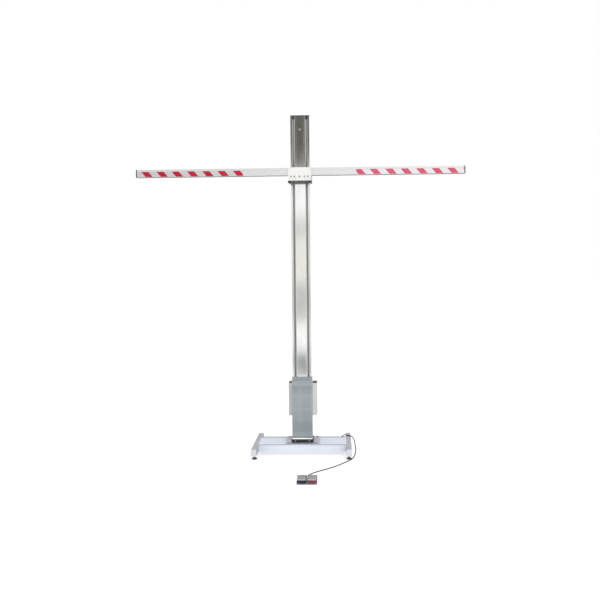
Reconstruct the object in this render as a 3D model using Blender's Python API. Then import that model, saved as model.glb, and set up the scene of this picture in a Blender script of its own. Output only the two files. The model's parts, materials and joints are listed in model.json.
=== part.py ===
"""A free-standing lift stand: a boom with hazard tape rides up and down a slotted mast,
driven by a belt inside it and worked from a twin foot pedal."""

import math

import bmesh
import bpy
from mathutils import Matrix, Vector

# Metres throughout. X runs along the boom, Y to the back of the stand, Z up from the floor.
# Places are measured from the mast's centre line, which stands this far behind the part's origin.
STAND_Y = 0.318
GAP = 0.0003  # between pieces that touch
ROUND = 24  # sides of a round piece

# Base
LEG_WIDTH = 0.048
LEG_TOP = 0.100
LEG_HEIGHT = 0.062
LEG_HALF_LENGTH = 0.302
LEG_OUTER = 0.449
TUBE_WALL = 0.0025
LEG_CAP = 0.004
BEAM_HALF_DEPTH = 0.140
BEAM_WALL = 0.005
PLATE_HALF_WIDTH = 0.154
PLATE_THICK = 0.010
PLATE_BOLTS = (0.128, 0.108)
FOOT_Y = 0.238
FOOT_PAD_RADIUS = 0.024
STEM_RADIUS = 0.006

# Mast
MAST_WIDTH = 0.180
MAST_DEPTH = 0.100
MAST_WALL = 0.003
MAST_CORNER = 0.010
MAST_TOP = 3.122
MAST_FLANGE = 0.019
STRIP_WIDTH = 0.098
LIP = 0.012
CAP_TOP = 3.130
COLLAR_HALF_WIDTH = 0.101
COLLAR_FRONT = -0.090
COLLAR_BACK = 0.062
COLLAR_HEIGHT = 0.026

# Belt drive
BELT_Y = 0.006
BELT_WIDTH = 0.020
BELT_THICK = 0.003
PULLEY_RADIUS = 0.036
PULLEY_FLANGE = 0.042
DRIVE_Z = 0.450
IDLER_Z = 3.000
AXLE_RADIUS = 0.006
SHAFT_RADIUS = 0.007

# Cover and control box
COVER_WIDTH = 0.186
COVER_FRONT = -0.085
COVER_TOP = 0.708
COVER_SHOULDER = 0.679
SHEET = 0.002
BOX_HALF_WIDTH = 0.1325
BOX_BACK = 0.172
BOX_BOTTOM = 0.328
BOX_TOP = 0.632
HINGE_X = -0.1375
HINGE_Y = 0.176
LOCK_X = 0.110

# Carriage and boom
CARRIAGE_BOTTOM = 2.510
CARRIAGE_HEIGHT = 0.120
CARRIAGE_HALF_WIDTH = 0.1065
CLAMP_FRONT = -0.166
CLAMP_THICK = 0.006
BAR_LENGTH = 3.000
BAR_HEIGHT = 0.070
BAR_DEPTH = 0.040
BAR_BOTTOM = 2.557
BAR_WALL = 0.002
BAR_CAP = 0.0035
TAPE_INNER = 0.515
TAPE_OUTER = 1.490
TAPE_HEIGHT = 0.047
TAPE_THICK = 0.0005
CLAMP_BOLT_Z = 2.546
CLAMP_BOLT_X = (-0.0765, -0.0455, 0.0, 0.0455, 0.0765)
ROLLER_RADIUS = 0.015
ROLLER_RISE = 0.060
ARM = (0.054, 0.066)

# Pedal and its cable
PEDAL_X = 0.078
PEDAL_FRONT = -0.941
PEDAL_BACK = -0.804
PEDAL_HALF_WIDTH = 0.0815
PEDAL_BASE = 0.005
HOUSING_GAP = 0.012
TREADLE_TOP = 0.040
TREADLE_AXIS = (-0.811, 0.0345)
CABLE_DIAMETER = 0.008
CABLE_POINTS = 78
GLAND = (0.350, 0.068)
CABLE_ROUTE = (
    (0.350, 0.1655, 0.068),
    (0.352, 0.186, 0.071),
    (0.365, 0.202, 0.088),
    (0.388, 0.199, 0.1050),
    (0.412, 0.182, 0.1055),
    (0.437, 0.165, 0.1052),
    (0.461, 0.153, 0.0985),
    (0.477, 0.145, 0.077),
    (0.486, 0.136, 0.046),
    (0.491, 0.116, 0.0165),
    (0.4925, 0.080, 0.0045),
    (0.4915, 0.020, 0.0042),
    (0.4875, -0.050, 0.0042),
    (0.480, -0.120, 0.0042),
    (0.4695, -0.185, 0.0042),
    (0.456, -0.237, 0.0042),
    (0.435, -0.283, 0.0042),
    (0.409, -0.325, 0.0042),
    (0.379, -0.368, 0.0042),
    (0.345, -0.414, 0.0042),
    (0.300, -0.472, 0.0042),
    (0.236, -0.540, 0.0042),
    (0.168, -0.601, 0.0042),
    (0.120, -0.652, 0.0045),
    (0.094, -0.700, 0.0075),
    (0.082, -0.745, 0.0125),
    (0.078, -0.7805, 0.015),
)

FINISHES = {
    "mast_metal": ((0.42, 0.43, 0.42), 0.9, 0.35),
    "strip_metal": ((0.55, 0.56, 0.55), 0.9, 0.30),
    "cover_metal": ((0.36, 0.40, 0.42), 0.8, 0.35),
    "carriage_metal": ((0.78, 0.78, 0.77), 0.4, 0.40),
    "bar_metal": ((0.72, 0.72, 0.73), 0.5, 0.40),
    "box_paint": ((0.46, 0.46, 0.47), 0.0, 0.50),
    "beam_paint": ((0.74, 0.75, 0.82), 0.0, 0.45),
    "leg_paint": ((0.38, 0.38, 0.42), 0.0, 0.50),
    "plate_metal": ((0.38, 0.39, 0.42), 0.6, 0.45),
    "steel": ((0.60, 0.60, 0.60), 1.0, 0.30),
    "motor_paint": ((0.20, 0.21, 0.22), 0.0, 0.55),
    "black_plastic": ((0.02, 0.02, 0.02), 0.0, 0.50),
    "grey_plastic": ((0.60, 0.60, 0.62), 0.0, 0.50),
    "black_paint": ((0.03, 0.03, 0.04), 0.0, 0.45),
    "belt_rubber": ((0.03, 0.03, 0.03), 0.0, 0.70),
    "bumper_rubber": ((0.02, 0.02, 0.02), 0.0, 0.75),
    "roller_plastic": ((0.80, 0.78, 0.70), 0.0, 0.45),
    "hazard_tape": ((0.80, 0.10, 0.09), 0.0, 0.40),
    "pedal_base": ((0.42, 0.42, 0.44), 0.6, 0.45),
    "pedal_black": ((0.02, 0.02, 0.03), 0.0, 0.45),
    "pedal_red": ((0.30, 0.05, 0.09), 0.0, 0.45),
    "treadle_metal": ((0.60, 0.60, 0.58), 0.9, 0.35),
    "cable_rubber": ((0.03, 0.03, 0.03), 0.0, 0.60),
}


# ---- Making shapes -------------------------------------------------------------------------


def clear_scene():
    for item in list(bpy.data.objects):
        bpy.data.objects.remove(item)


def make_material(finish):
    """Returns the named finish's material, making it the first time."""
    if finish in bpy.data.materials:
        return bpy.data.materials[finish]
    colour, metallic, roughness = FINISHES[finish]
    material = bpy.data.materials.new(finish)
    material.use_nodes = True
    shader = material.node_tree.nodes["Principled BSDF"]
    shader.inputs["Base Color"].default_value = (*colour, 1.0)
    shader.inputs["Metallic"].default_value = metallic
    shader.inputs["Roughness"].default_value = roughness
    return material


def add_piece(name, shape, finish=None, origin=(0, 0, 0)):
    """Makes an object of a bmesh. Its origin is a point measured from the mast's centre line."""
    bmesh.ops.translate(shape, verts=shape.verts, vec=-Vector(origin))
    bmesh.ops.recalc_face_normals(shape, faces=shape.faces)
    mesh = bpy.data.meshes.new(name)
    shape.to_mesh(mesh)
    shape.free()
    mesh.shade_smooth()
    mesh.set_sharp_from_angle(angle=math.radians(35))
    piece = bpy.data.objects.new(name, mesh)
    bpy.context.collection.objects.link(piece)
    piece.parent = stand
    piece.location = origin
    if finish:
        mesh.materials.append(make_material(finish))
    return piece


def box(low, high):
    """A bmesh block between two corners."""
    low, high = Vector(low), Vector(high)
    shape = bmesh.new()
    place = Matrix.Translation((low + high) / 2) @ Matrix.Diagonal((high - low).to_4d())
    bmesh.ops.create_cube(shape, size=1, matrix=place)
    return shape


def prism(outline, axis, start, end):
    """A bmesh of an outline pushed along an axis. Its points lie on the two other axes, in order."""
    along = "XYZ".index(axis)
    shape = bmesh.new()
    corners = []
    for point in outline:
        place = list(point)
        place.insert(along, start)
        corners.append(shape.verts.new(place))
    face = shape.faces.new(corners)
    pushed = bmesh.ops.extrude_face_region(shape, geom=[face])
    travel = Vector((0, 0, 0))
    travel[along] = end - start
    moved = [item for item in pushed["geom"] if isinstance(item, bmesh.types.BMVert)]
    bmesh.ops.translate(shape, verts=moved, vec=travel)
    return shape


def turned(profile, axis, centre, sides=ROUND):
    """A bmesh turned about an axis through centre. The profile is (radius, distance along the
    axis from the floor or the mast's centre line), and its last point joins its first."""
    along = "XYZ".index(axis)
    across = [index for index in range(3) if index != along]
    shape = bmesh.new()
    rings = []
    for radius, distance in profile:
        ring = []
        for side in range(sides if radius else 1):
            angle = 2 * math.pi * (side + 0.5) / sides
            place = [0.0, 0.0, 0.0]
            place[along] = distance
            place[across[0]] = centre[0] + radius * math.cos(angle)
            place[across[1]] = centre[1] + radius * math.sin(angle)
            ring.append(shape.verts.new(place))
        rings.append(ring if radius else ring * sides)
    for near, far in zip(rings, rings[1:] + rings[:1]):
        for side in range(sides):
            following = (side + 1) % sides
            corners = []
            for corner in (near[side], near[following], far[following], far[side]):
                if corner not in corners:
                    corners.append(corner)
            if len(corners) > 2:
                shape.faces.new(corners)
    return shape


def rod(axis, centre, radius, start, end, sides=ROUND):
    """A bmesh cylinder along an axis, between two distances."""
    return turned([(0, start), (radius, start), (radius, end), (0, end)], axis, centre, sides)


def arc(centre, radius, first, last, steps=4):
    """The points of an arc, angles in degrees."""
    points = []
    for step in range(steps + 1):
        angle = math.radians(first + (last - first) * step / steps)
        points.append((centre[0] + radius * math.cos(angle), centre[1] + radius * math.sin(angle)))
    return points


def add_modifier_shape(piece, shape, operation):
    helper = add_piece(f"{piece.name}_{operation.lower()}_{len(piece.modifiers)}", shape)
    helper.hide_render = True
    helper.display_type = "WIRE"
    modifier = piece.modifiers.new(operation.title(), "BOOLEAN")
    modifier.operation = operation
    modifier.solver = "EXACT"
    modifier.object = helper


def cut(piece, *shapes):
    for shape in shapes:
        add_modifier_shape(piece, shape, "DIFFERENCE")


def weld(piece, *shapes):
    for shape in shapes:
        add_modifier_shape(piece, shape, "UNION")


def soften(piece, width, segments=2):
    """Rounds the edges of what the piece is so far."""
    modifier = piece.modifiers.new("Edges", "BEVEL")
    modifier.width = width
    modifier.segments = segments
    modifier.limit_method = "ANGLE"


def along_curve(points, count):
    """Evenly spaced points of a smooth curve through the points given."""
    route = [Vector(point) for point in points]
    route = [2 * route[0] - route[1], *route, 2 * route[-1] - route[-2]]
    fine = []
    steps = 24
    for before, start, end, after in zip(route, route[1:], route[2:], route[3:]):
        for step in range(steps):
            t = step / steps
            fine.append(
                0.5
                * (
                    2 * start
                    + (end - before) * t
                    + (2 * before - 5 * start + 4 * end - after) * t**2
                    + (3 * start - before - 3 * end + after) * t**3
                )
            )
    fine.append(route[-2])
    reached = [0.0]
    for here, there in zip(fine, fine[1:]):
        reached.append(reached[-1] + (there - here).length)
    even = []
    index = 0
    for number in range(count):
        target = reached[-1] * number / (count - 1)
        while index < len(fine) - 2 and reached[index + 1] < target:
            index += 1
        share = (target - reached[index]) / (reached[index + 1] - reached[index])
        even.append(fine[index].lerp(fine[index + 1], share))
    return even


# ---- Base ----------------------------------------------------------------------------------


def make_leg(name, side):
    """A rectangular tube from front to back with a plug in each end and a screw foot near it."""
    outer = side * LEG_OUTER
    inner = side * (LEG_OUTER - LEG_WIDTH)
    low_x, high_x = sorted((outer, inner))
    bottom = LEG_TOP - LEG_HEIGHT
    tube_end = LEG_HALF_LENGTH - LEG_CAP - GAP
    leg = add_piece(
        f"leg_{name}",
        box((low_x, -tube_end, bottom), (high_x, tube_end, LEG_TOP)),
        "leg_paint",
    )
    soften(leg, 0.004)
    cut(
        leg,
        box(
            (low_x + TUBE_WALL, -LEG_HALF_LENGTH, bottom + TUBE_WALL),
            (high_x - TUBE_WALL, LEG_HALF_LENGTH, LEG_TOP - TUBE_WALL),
        ),
    )
    for end_name, end in (("front", -1), ("back", 1)):
        foot_place = ((outer + inner) / 2, end * FOOT_Y)
        cut(leg, rod("Z", foot_place, STEM_RADIUS + GAP, bottom - 0.01, bottom + 0.01))
        make_leg_cap(f"leg_cap_{name}_{end_name}", low_x, high_x, end)
        make_foot(f"foot_{name}_{end_name}", foot_place)


def make_leg_cap(name, low_x, high_x, end):
    bottom = LEG_TOP - LEG_HEIGHT
    faces = sorted((end * (LEG_HALF_LENGTH - LEG_CAP), end * LEG_HALF_LENGTH))
    cap = add_piece(
        name, box((low_x, faces[0], bottom), (high_x, faces[1], LEG_TOP)), "grey_plastic"
    )
    soften(cap, 0.0015)
    inset = TUBE_WALL + GAP
    plug = sorted((end * (LEG_HALF_LENGTH - LEG_CAP / 2), end * (LEG_HALF_LENGTH - 0.018)))
    weld(
        cap,
        box(
            (low_x + inset, plug[0], bottom + inset),
            (high_x - inset, plug[1], LEG_TOP - inset),
        ),
    )


def make_foot(name, place):
    """A levelling foot: a pad on the floor, a threaded stem and its lock nut under the leg."""
    leg_bottom = LEG_TOP - LEG_HEIGHT
    profile = [
        (0, 0),
        (FOOT_PAD_RADIUS - 0.002, 0),
        (FOOT_PAD_RADIUS, 0.003),
        (FOOT_PAD_RADIUS, 0.007),
        (FOOT_PAD_RADIUS - 0.004, 0.010),
        (0.011, 0.012),
        (0.009, 0.017),
        (STEM_RADIUS, 0.019),
        (STEM_RADIUS, 0.078),
        (0, 0.079),
    ]
    foot = add_piece(name, turned(profile, "Z", place), "black_plastic", (*place, 0))
    weld(foot, rod("Z", place, 0.011, leg_bottom - 0.0095, leg_bottom - GAP, sides=6))


def make_beam():
    """The folded beam between the legs, open below, with a welded plate at each end."""
    half = LEG_OUTER - LEG_WIDTH - GAP
    bottom = LEG_TOP - LEG_HEIGHT
    beam = add_piece(
        "base_beam",
        box((-half, -BEAM_HALF_DEPTH, bottom), (half, BEAM_HALF_DEPTH, LEG_TOP)),
        "beam_paint",
    )
    soften(beam, 0.003)
    cut(
        beam,
        box(
            (-half + BEAM_WALL, -BEAM_HALF_DEPTH + BEAM_WALL, bottom - 0.02),
            (half - BEAM_WALL, BEAM_HALF_DEPTH - BEAM_WALL, LEG_TOP - BEAM_WALL),
        ),
    )
    for place in bolt_places():
        cut(beam, rod("Z", place, 0.005 + GAP, LEG_TOP - 0.02, LEG_TOP + 0.01, sides=16))
    cut(beam, rod("Y", GLAND, 0.006 + GAP, BEAM_HALF_DEPTH - 0.02, BEAM_HALF_DEPTH + 0.01))


def bolt_places():
    x, y = PLATE_BOLTS
    return [(side * x, end * y) for side in (-1, 1) for end in (-1, 1)]


def make_base_plate():
    low = LEG_TOP + GAP
    top = low + PLATE_THICK
    edge = BEAM_HALF_DEPTH - 0.001
    plate = add_piece(
        "base_plate",
        box((-PLATE_HALF_WIDTH, -edge, low), (PLATE_HALF_WIDTH, edge, top)),
        "plate_metal",
    )
    soften(plate, 0.0015)
    for number, place in enumerate(bolt_places(), 1):
        cut(plate, rod("Z", place, 0.005 + GAP, low - 0.01, top + 0.01, sides=16))
        make_base_bolt(f"base_bolt_{number}", place, top)


def make_base_bolt(name, place, seat):
    """Washer, head, shank and the nut under the beam."""
    profile = [
        (0, 0.078),
        (0.005, 0.078),
        (0.005, seat + GAP),
        (0.012, seat + GAP),
        (0.012, seat + 0.0022),
        (0, seat + 0.0022),
    ]
    bolt = add_piece(name, turned(profile, "Z", place, sides=16), "steel")
    weld(bolt, rod("Z", place, 0.0098, seat + 0.0015, seat + 0.009, sides=6))
    under = LEG_TOP - BEAM_WALL
    weld(bolt, rod("Z", place, 0.0098, under - 0.0085, under - GAP, sides=6))


def make_collar():
    """The socket that holds the foot of the mast on the base plate."""
    low = LEG_TOP + PLATE_THICK + 2 * GAP
    collar = add_piece(
        "mast_socket",
        box(
            (-COLLAR_HALF_WIDTH, COLLAR_FRONT, low),
            (COLLAR_HALF_WIDTH, COLLAR_BACK, low + COLLAR_HEIGHT),
        ),
        "black_paint",
    )
    soften(collar, 0.002)
    room_x = MAST_WIDTH / 2 + GAP
    room_y = MAST_DEPTH / 2 + GAP
    cut(collar, box((-room_x, -room_y, low - 0.01), (room_x, room_y, low + 0.1)))


# ---- Mast ----------------------------------------------------------------------------------


def mast_outline():
    """Half of the open profile's wall, then its mirror: outer face, slot lips, inner face."""
    x, y = MAST_WIDTH / 2, MAST_DEPTH / 2
    slot = x - MAST_FLANGE
    inner = MAST_CORNER - MAST_WALL
    cx, cy = x - MAST_CORNER, y - MAST_CORNER
    outside = [(slot, -y), *arc((cx, -cy), MAST_CORNER, -90, 0), *arc((cx, cy), MAST_CORNER, 0, 90)]
    inside = [
        *arc((cx, cy), inner, 90, 0),
        *arc((cx, -cy), inner, 0, -90),
        (slot + MAST_WALL, -y + MAST_WALL),
        (slot + MAST_WALL, -y + LIP),
        (slot, -y + LIP),
    ]
    mirror_outside = [(-a, b) for a, b in reversed(outside)]
    mirror_inside = [(-a, b) for a, b in reversed(inside)]
    return [*outside, *mirror_outside, *mirror_inside, *inside]


def make_mast():
    foot = LEG_TOP + PLATE_THICK + 2 * GAP
    mast = add_piece("mast_profile", prism(mast_outline(), "Z", foot, MAST_TOP), "mast_metal")
    back = MAST_DEPTH / 2
    cut(
        mast,
        rod("Y", (0, DRIVE_Z), 0.010, back - 0.02, back + 0.02),
        rod("Y", (0, IDLER_Z), AXLE_RADIUS + GAP, back - 0.02, back + 0.02),
    )


def make_front_strip():
    """The channel between the mast's two slots, held by the idler's axle and the socket."""
    half = STRIP_WIDTH / 2
    front = -MAST_DEPTH / 2
    foot = LEG_TOP + PLATE_THICK + 2 * GAP
    outline = [
        (-half, front + LIP),
        (-half, front),
        (half, front),
        (half, front + LIP),
        (half - MAST_WALL, front + LIP),
        (half - MAST_WALL, front + MAST_WALL),
        (-half + MAST_WALL, front + MAST_WALL),
        (-half + MAST_WALL, front + LIP),
    ]
    strip = add_piece("mast_front_strip", prism(outline, "Z", foot, MAST_TOP), "strip_metal")
    cut(strip, rod("Y", (0, IDLER_Z), AXLE_RADIUS + GAP, front - 0.02, front + 0.02))


def make_top_cap():
    """A moulded lid with a lug that closes the top of each slot."""
    x, y = MAST_WIDTH / 2, MAST_DEPTH / 2
    cx, cy = x - MAST_CORNER, y - MAST_CORNER
    outline = [
        *arc((cx, -cy), MAST_CORNER, -90, 0),
        *arc((cx, cy), MAST_CORNER, 0, 90),
        *arc((-cx, cy), MAST_CORNER, 90, 180),
        *arc((-cx, -cy), MAST_CORNER, 180, 270),
    ]
    low = MAST_TOP + GAP
    cap = add_piece("mast_top_cap", prism(outline, "Z", low, CAP_TOP), "black_plastic")
    slot_in = STRIP_WIDTH / 2 + GAP
    slot_out = x - MAST_FLANGE - GAP
    for side in (-1, 1):
        lug_x = sorted((side * slot_in, side * slot_out))
        weld(cap, box((lug_x[0], -y + 0.0005, MAST_TOP - 0.030), (lug_x[1], -y + LIP, low + 0.004)))


# ---- Belt drive ----------------------------------------------------------------------------


def pulley_profile(bore):
    """Flanged pulley on the belt's centre plane; a bore of 0 makes it solid."""
    near = BELT_Y - BELT_WIDTH / 2 - 0.0005
    far = BELT_Y + BELT_WIDTH / 2 + 0.0005
    rim = PULLEY_RADIUS * math.cos(math.pi / ROUND) - GAP  # inside the belt's flats at any angle
    flange = 0.0015
    return [
        (bore, near - flange),
        (PULLEY_FLANGE, near - flange),
        (PULLEY_FLANGE, near),
        (rim, near),
        (rim, far),
        (PULLEY_FLANGE, far),
        (PULLEY_FLANGE, far + flange),
        (bore, far + flange),
    ]


def make_pulleys():
    idler = (0, IDLER_Z)
    bore = AXLE_RADIUS + GAP
    add_piece(
        "idler_pulley", turned(pulley_profile(bore), "Y", idler), "steel", (0, BELT_Y, IDLER_Z)
    )
    front = -MAST_DEPTH / 2 - GAP
    back = MAST_DEPTH / 2 + GAP
    axle = add_piece("idler_axle", rod("Y", idler, AXLE_RADIUS, front - 0.004, back + 0.004), "steel")
    weld(
        axle,
        rod("Y", idler, 0.0098, front - 0.0068, front, sides=6),
        rod("Y", idler, 0.0098, back, back + 0.0068, sides=6),
    )
    drive = (0, DRIVE_Z)
    wheel = add_piece(
        "drive_pulley", turned(pulley_profile(0), "Y", drive), "steel", (0, BELT_Y, DRIVE_Z)
    )
    weld(wheel, rod("Y", drive, SHAFT_RADIUS, BELT_Y, 0.080))


def make_belt():
    """A closed loop round both pulleys."""
    outer = PULLEY_RADIUS + BELT_THICK
    shape = prism(racetrack(outer), "Y", BELT_Y - BELT_WIDTH / 2, BELT_Y + BELT_WIDTH / 2)
    belt = add_piece("drive_belt", shape, "belt_rubber")
    cut(belt, prism(racetrack(PULLEY_RADIUS), "Y", BELT_Y - BELT_WIDTH, BELT_Y + BELT_WIDTH))


def racetrack(radius):
    steps = ROUND // 2
    top = arc((0, IDLER_Z), radius, 0, 180, steps)
    return [*top, *arc((0, DRIVE_Z), radius, 180, 360, steps)]


def make_gear_motor():
    """Gearbox on the shaft with the motor standing on it."""
    face = MAST_DEPTH / 2 + GAP + SHEET + GAP
    centre = (0, face + 0.046)
    motor = add_piece(
        "gear_motor", box((-0.042, face, DRIVE_Z - 0.050), (0.042, 0.145, DRIVE_Z + 0.050)), "motor_paint"
    )
    soften(motor, 0.005)
    profile = [
        (0, DRIVE_Z + 0.040),
        (0.040, DRIVE_Z + 0.040),
        (0.040, BOX_TOP - 0.030),
        (0.034, BOX_TOP - 0.020),
        (0, BOX_TOP - 0.020),
    ]
    weld(motor, turned(profile, "Z", centre))
    cut(motor, rod("Y", (0, DRIVE_Z), SHAFT_RADIUS + GAP, face - 0.01, 0.085))


# ---- Cover and control box -----------------------------------------------------------------


def make_front_cover():
    """Folded sheet over the foot of the mast, with a hem at its bottom edge."""
    half = COVER_WIDTH / 2
    mast_front = -MAST_DEPTH / 2 - GAP
    bottom = LEG_TOP + PLATE_THICK + COLLAR_HEIGHT + 0.0015
    side_back = 0.030
    hem = 0.020
    outer = [
        (COVER_FRONT - 0.004, bottom),
        (COVER_FRONT - 0.004, bottom + hem - 0.005),
        (COVER_FRONT, bottom + hem),
        (COVER_FRONT, COVER_SHOULDER),
        (mast_front, COVER_TOP),
        (side_back, COVER_TOP),
        (side_back, bottom),
    ]
    cover = add_piece("front_cover", prism(outer, "X", -half, half), "cover_metal")
    inside = COVER_FRONT + SHEET
    inner = [
        (inside, bottom - 0.02),
        (inside, COVER_SHOULDER - 0.0012),
        (mast_front, COVER_TOP - 0.0028),
        (mast_front, COVER_TOP + 0.02),
        (side_back + 0.02, COVER_TOP + 0.02),
        (side_back + 0.02, bottom - 0.02),
    ]
    room = MAST_WIDTH / 2 + 0.0012
    cut(cover, prism(inner, "X", -room, room))


def make_control_box():
    """Sheet box behind the mast, open at the back, where its door closes it."""
    front = MAST_DEPTH / 2 + GAP
    shell = add_piece(
        "control_box",
        box((-BOX_HALF_WIDTH, front, BOX_BOTTOM), (BOX_HALF_WIDTH, BOX_BACK, BOX_TOP)),
        "box_paint",
    )
    soften(shell, 0.0015)
    cut(
        shell,
        box(
            (-BOX_HALF_WIDTH + SHEET, front + SHEET, BOX_BOTTOM + SHEET),
            (BOX_HALF_WIDTH - SHEET, BOX_BACK + 0.02, BOX_TOP - SHEET),
        ),
        rod("Y", (0, DRIVE_Z), 0.010, front - 0.01, front + 0.01),
        rod("Z", (0.080, 0.110), 0.008 + GAP, BOX_BOTTOM - 0.01, BOX_BOTTOM + 0.01),
    )


def make_door():
    """Back door with two knuckles on a pin, and a quarter-turn lock."""
    inner = BOX_BACK + GAP
    outer = inner + 0.0022
    pivot = (HINGE_X, HINGE_Y, 0)
    middle = (BOX_BOTTOM + BOX_TOP) / 2
    door = add_piece(
        "control_box_door",
        box((-BOX_HALF_WIDTH, inner, BOX_BOTTOM), (BOX_HALF_WIDTH, outer, BOX_TOP)),
        "box_paint",
        (HINGE_X, HINGE_Y, middle),
    )
    brackets = []
    for side in (-1, 1):
        low = middle + side * 0.080 - 0.015
        knuckle = rod("Z", pivot, 0.005, low, low + 0.030, sides=16)
        weld(door, knuckle)
        weld(door, box((HINGE_X, inner, low), (-BOX_HALF_WIDTH + 0.006, outer, low + 0.030)))
        brackets.append(middle + side * 0.108 - 0.006)
    cut(door, rod("Z", pivot, 0.002 + GAP, middle - 0.12, middle + 0.12, sides=16))
    cut(door, rod("Y", (LOCK_X, middle), 0.006 + GAP, inner - 0.01, outer + 0.01, sides=16))

    pin = add_piece(
        "door_hinge_pin", rod("Z", pivot, 0.002, middle - 0.114, middle + 0.114, sides=16), "steel"
    )
    for low in brackets:
        leaf = box(
            (HINGE_X - 0.0045, 0.150, low), (-BOX_HALF_WIDTH - GAP, BOX_BACK - 0.0005, low + 0.012)
        )
        web = box((HINGE_X - 0.0045, 0.166, low), (HINGE_X, HINGE_Y, low + 0.012))
        weld(pin, leaf, web, rod("Z", pivot, 0.0045, low, low + 0.012, sides=16))

    place = (LOCK_X, middle)
    lock_profile = [
        (0, 0.150),
        (0.006, 0.150),
        (0.006, outer + GAP),
        (0.011, outer + GAP),
        (0.011, outer + 0.003),
        (0.009, outer + 0.005),
        (0, outer + 0.005),
    ]
    lock = add_piece(
        "door_lock", turned(lock_profile, "Y", place, sides=16), "steel", (LOCK_X, outer, middle)
    )
    weld(lock, box((LOCK_X - 0.006, 0.151, middle - 0.018), (LOCK_X + 0.006, 0.154, middle + 0.004)))


def make_mains_inlet():
    """Screw gland for the supply lead under the control box."""
    place = (0.080, 0.110)
    profile = [
        (0, BOX_BOTTOM - 0.024),
        (0.006, BOX_BOTTOM - 0.024),
        (0.010, BOX_BOTTOM - 0.018),
        (0.010, BOX_BOTTOM - 0.009),
        (0.013, BOX_BOTTOM - 0.009),
        (0.013, BOX_BOTTOM - GAP),
        (0.008, BOX_BOTTOM - GAP),
        (0.008, BOX_BOTTOM + 0.010),
        (0, BOX_BOTTOM + 0.010),
    ]
    add_piece("mains_inlet", turned(profile, "Z", place, sides=16), "black_plastic")


# ---- Carriage and boom ---------------------------------------------------------------------


def make_trolley():
    """Plate inside the mast with two arms through the slots, four pins and the belt clamp."""
    centre = CARRIAGE_BOTTOM + CARRIAGE_HEIGHT / 2
    plate_front = 0.022
    trolley = add_piece(
        "trolley",
        box((-0.078, plate_front, centre - 0.085), (0.078, 0.030, centre + 0.085)),
        "steel",
        (0, 0, centre),
    )
    arm_end = CLAMP_FRONT + CLAMP_THICK + BAR_DEPTH + 2 * GAP + 0.006 + GAP
    for side in (-1, 1):
        arm = sorted((side * ARM[0], side * ARM[1]))
        weld(
            trolley,
            box((arm[0], arm_end, centre - 0.032), (arm[1], plate_front + 0.004, centre + 0.032)),
        )
        for rise in (-ROLLER_RISE, ROLLER_RISE):
            pin_profile = [
                (0, -0.003),
                (0.0075, -0.003),
                (0.0075, 0.0),
                (0.005, 0.0),
                (0.005, plate_front + 0.004),
                (0, plate_front + 0.004),
            ]
            weld(trolley, turned(pin_profile, "Y", (side * roller_x(), centre + rise), sides=16))
    strand = PULLEY_RADIUS + BELT_THICK / 2
    weld(
        trolley,
        box(
            (-strand - 0.008, BELT_Y - 0.015, centre - 0.025),
            (-strand + 0.008, plate_front + 0.003, centre + 0.025),
        ),
    )
    room = 0.0006
    cut(
        trolley,
        box(
            (-strand - BELT_THICK / 2 - room, BELT_Y - BELT_WIDTH / 2 - room, centre - 0.2),
            (-strand + BELT_THICK / 2 + room, BELT_Y + BELT_WIDTH / 2 + room, centre + 0.2),
        ),
    )


def roller_x():
    return MAST_WIDTH / 2 - MAST_WALL - ROLLER_RADIUS - GAP


def make_rollers():
    centre = CARRIAGE_BOTTOM + CARRIAGE_HEIGHT / 2
    low, high = 0.002, 0.019
    edge = 0.0015
    profile = [
        (0.005 + GAP, low),
        (ROLLER_RADIUS - edge, low),
        (ROLLER_RADIUS, low + edge),
        (ROLLER_RADIUS, high - edge),
        (ROLLER_RADIUS - edge, high),
        (0.005 + GAP, high),
    ]
    for side_name, side in (("left", -1), ("right", 1)):
        for rise_name, rise in (("lower", -ROLLER_RISE), ("upper", ROLLER_RISE)):
            place = (side * roller_x(), centre + rise)
            origin = (place[0], (low + high) / 2, place[1])
            name = f"roller_{side_name}_{rise_name}"
            add_piece(name, turned(profile, "Y", place), "roller_plastic", origin)


def make_carriage_frame():
    """Front wall and two cheeks round the mast, with the ledge that the boom sits on."""
    half = CARRIAGE_HALF_WIDTH
    front = CLAMP_FRONT + CLAMP_THICK + BAR_DEPTH + 2 * GAP
    wall_back = front + 0.006
    cheek_in = half - 0.008
    cheek_back = 0.040
    top = CARRIAGE_BOTTOM + CARRIAGE_HEIGHT
    outline = [
        (-half, cheek_back),
        (-half, front),
        (half, front),
        (half, cheek_back),
        (cheek_in, cheek_back),
        (cheek_in, wall_back),
        (-cheek_in, wall_back),
        (-cheek_in, cheek_back),
    ]
    frame = add_piece("carriage_frame", prism(outline, "Z", CARRIAGE_BOTTOM, top), "carriage_metal")
    ledge_front = CLAMP_FRONT + CLAMP_THICK + GAP
    weld(
        frame,
        box(
            (-0.095, ledge_front, CARRIAGE_BOTTOM + 0.002),
            (0.095, front + 0.002, BAR_BOTTOM - GAP),
        ),
    )
    for x in CLAMP_BOLT_X:
        hole = (x, CLAMP_BOLT_Z)
        cut(frame, rod("Y", hole, 0.004 + GAP, ledge_front - 0.01, ledge_front + 0.030, sides=12))
    for side in (-1, 1):
        notch = [(0.010, top + 0.01), (0.050, top + 0.01), (0.050, top - 0.030)]
        cut(frame, prism(notch, "X", side * half - 0.02, side * half + 0.02))


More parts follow.
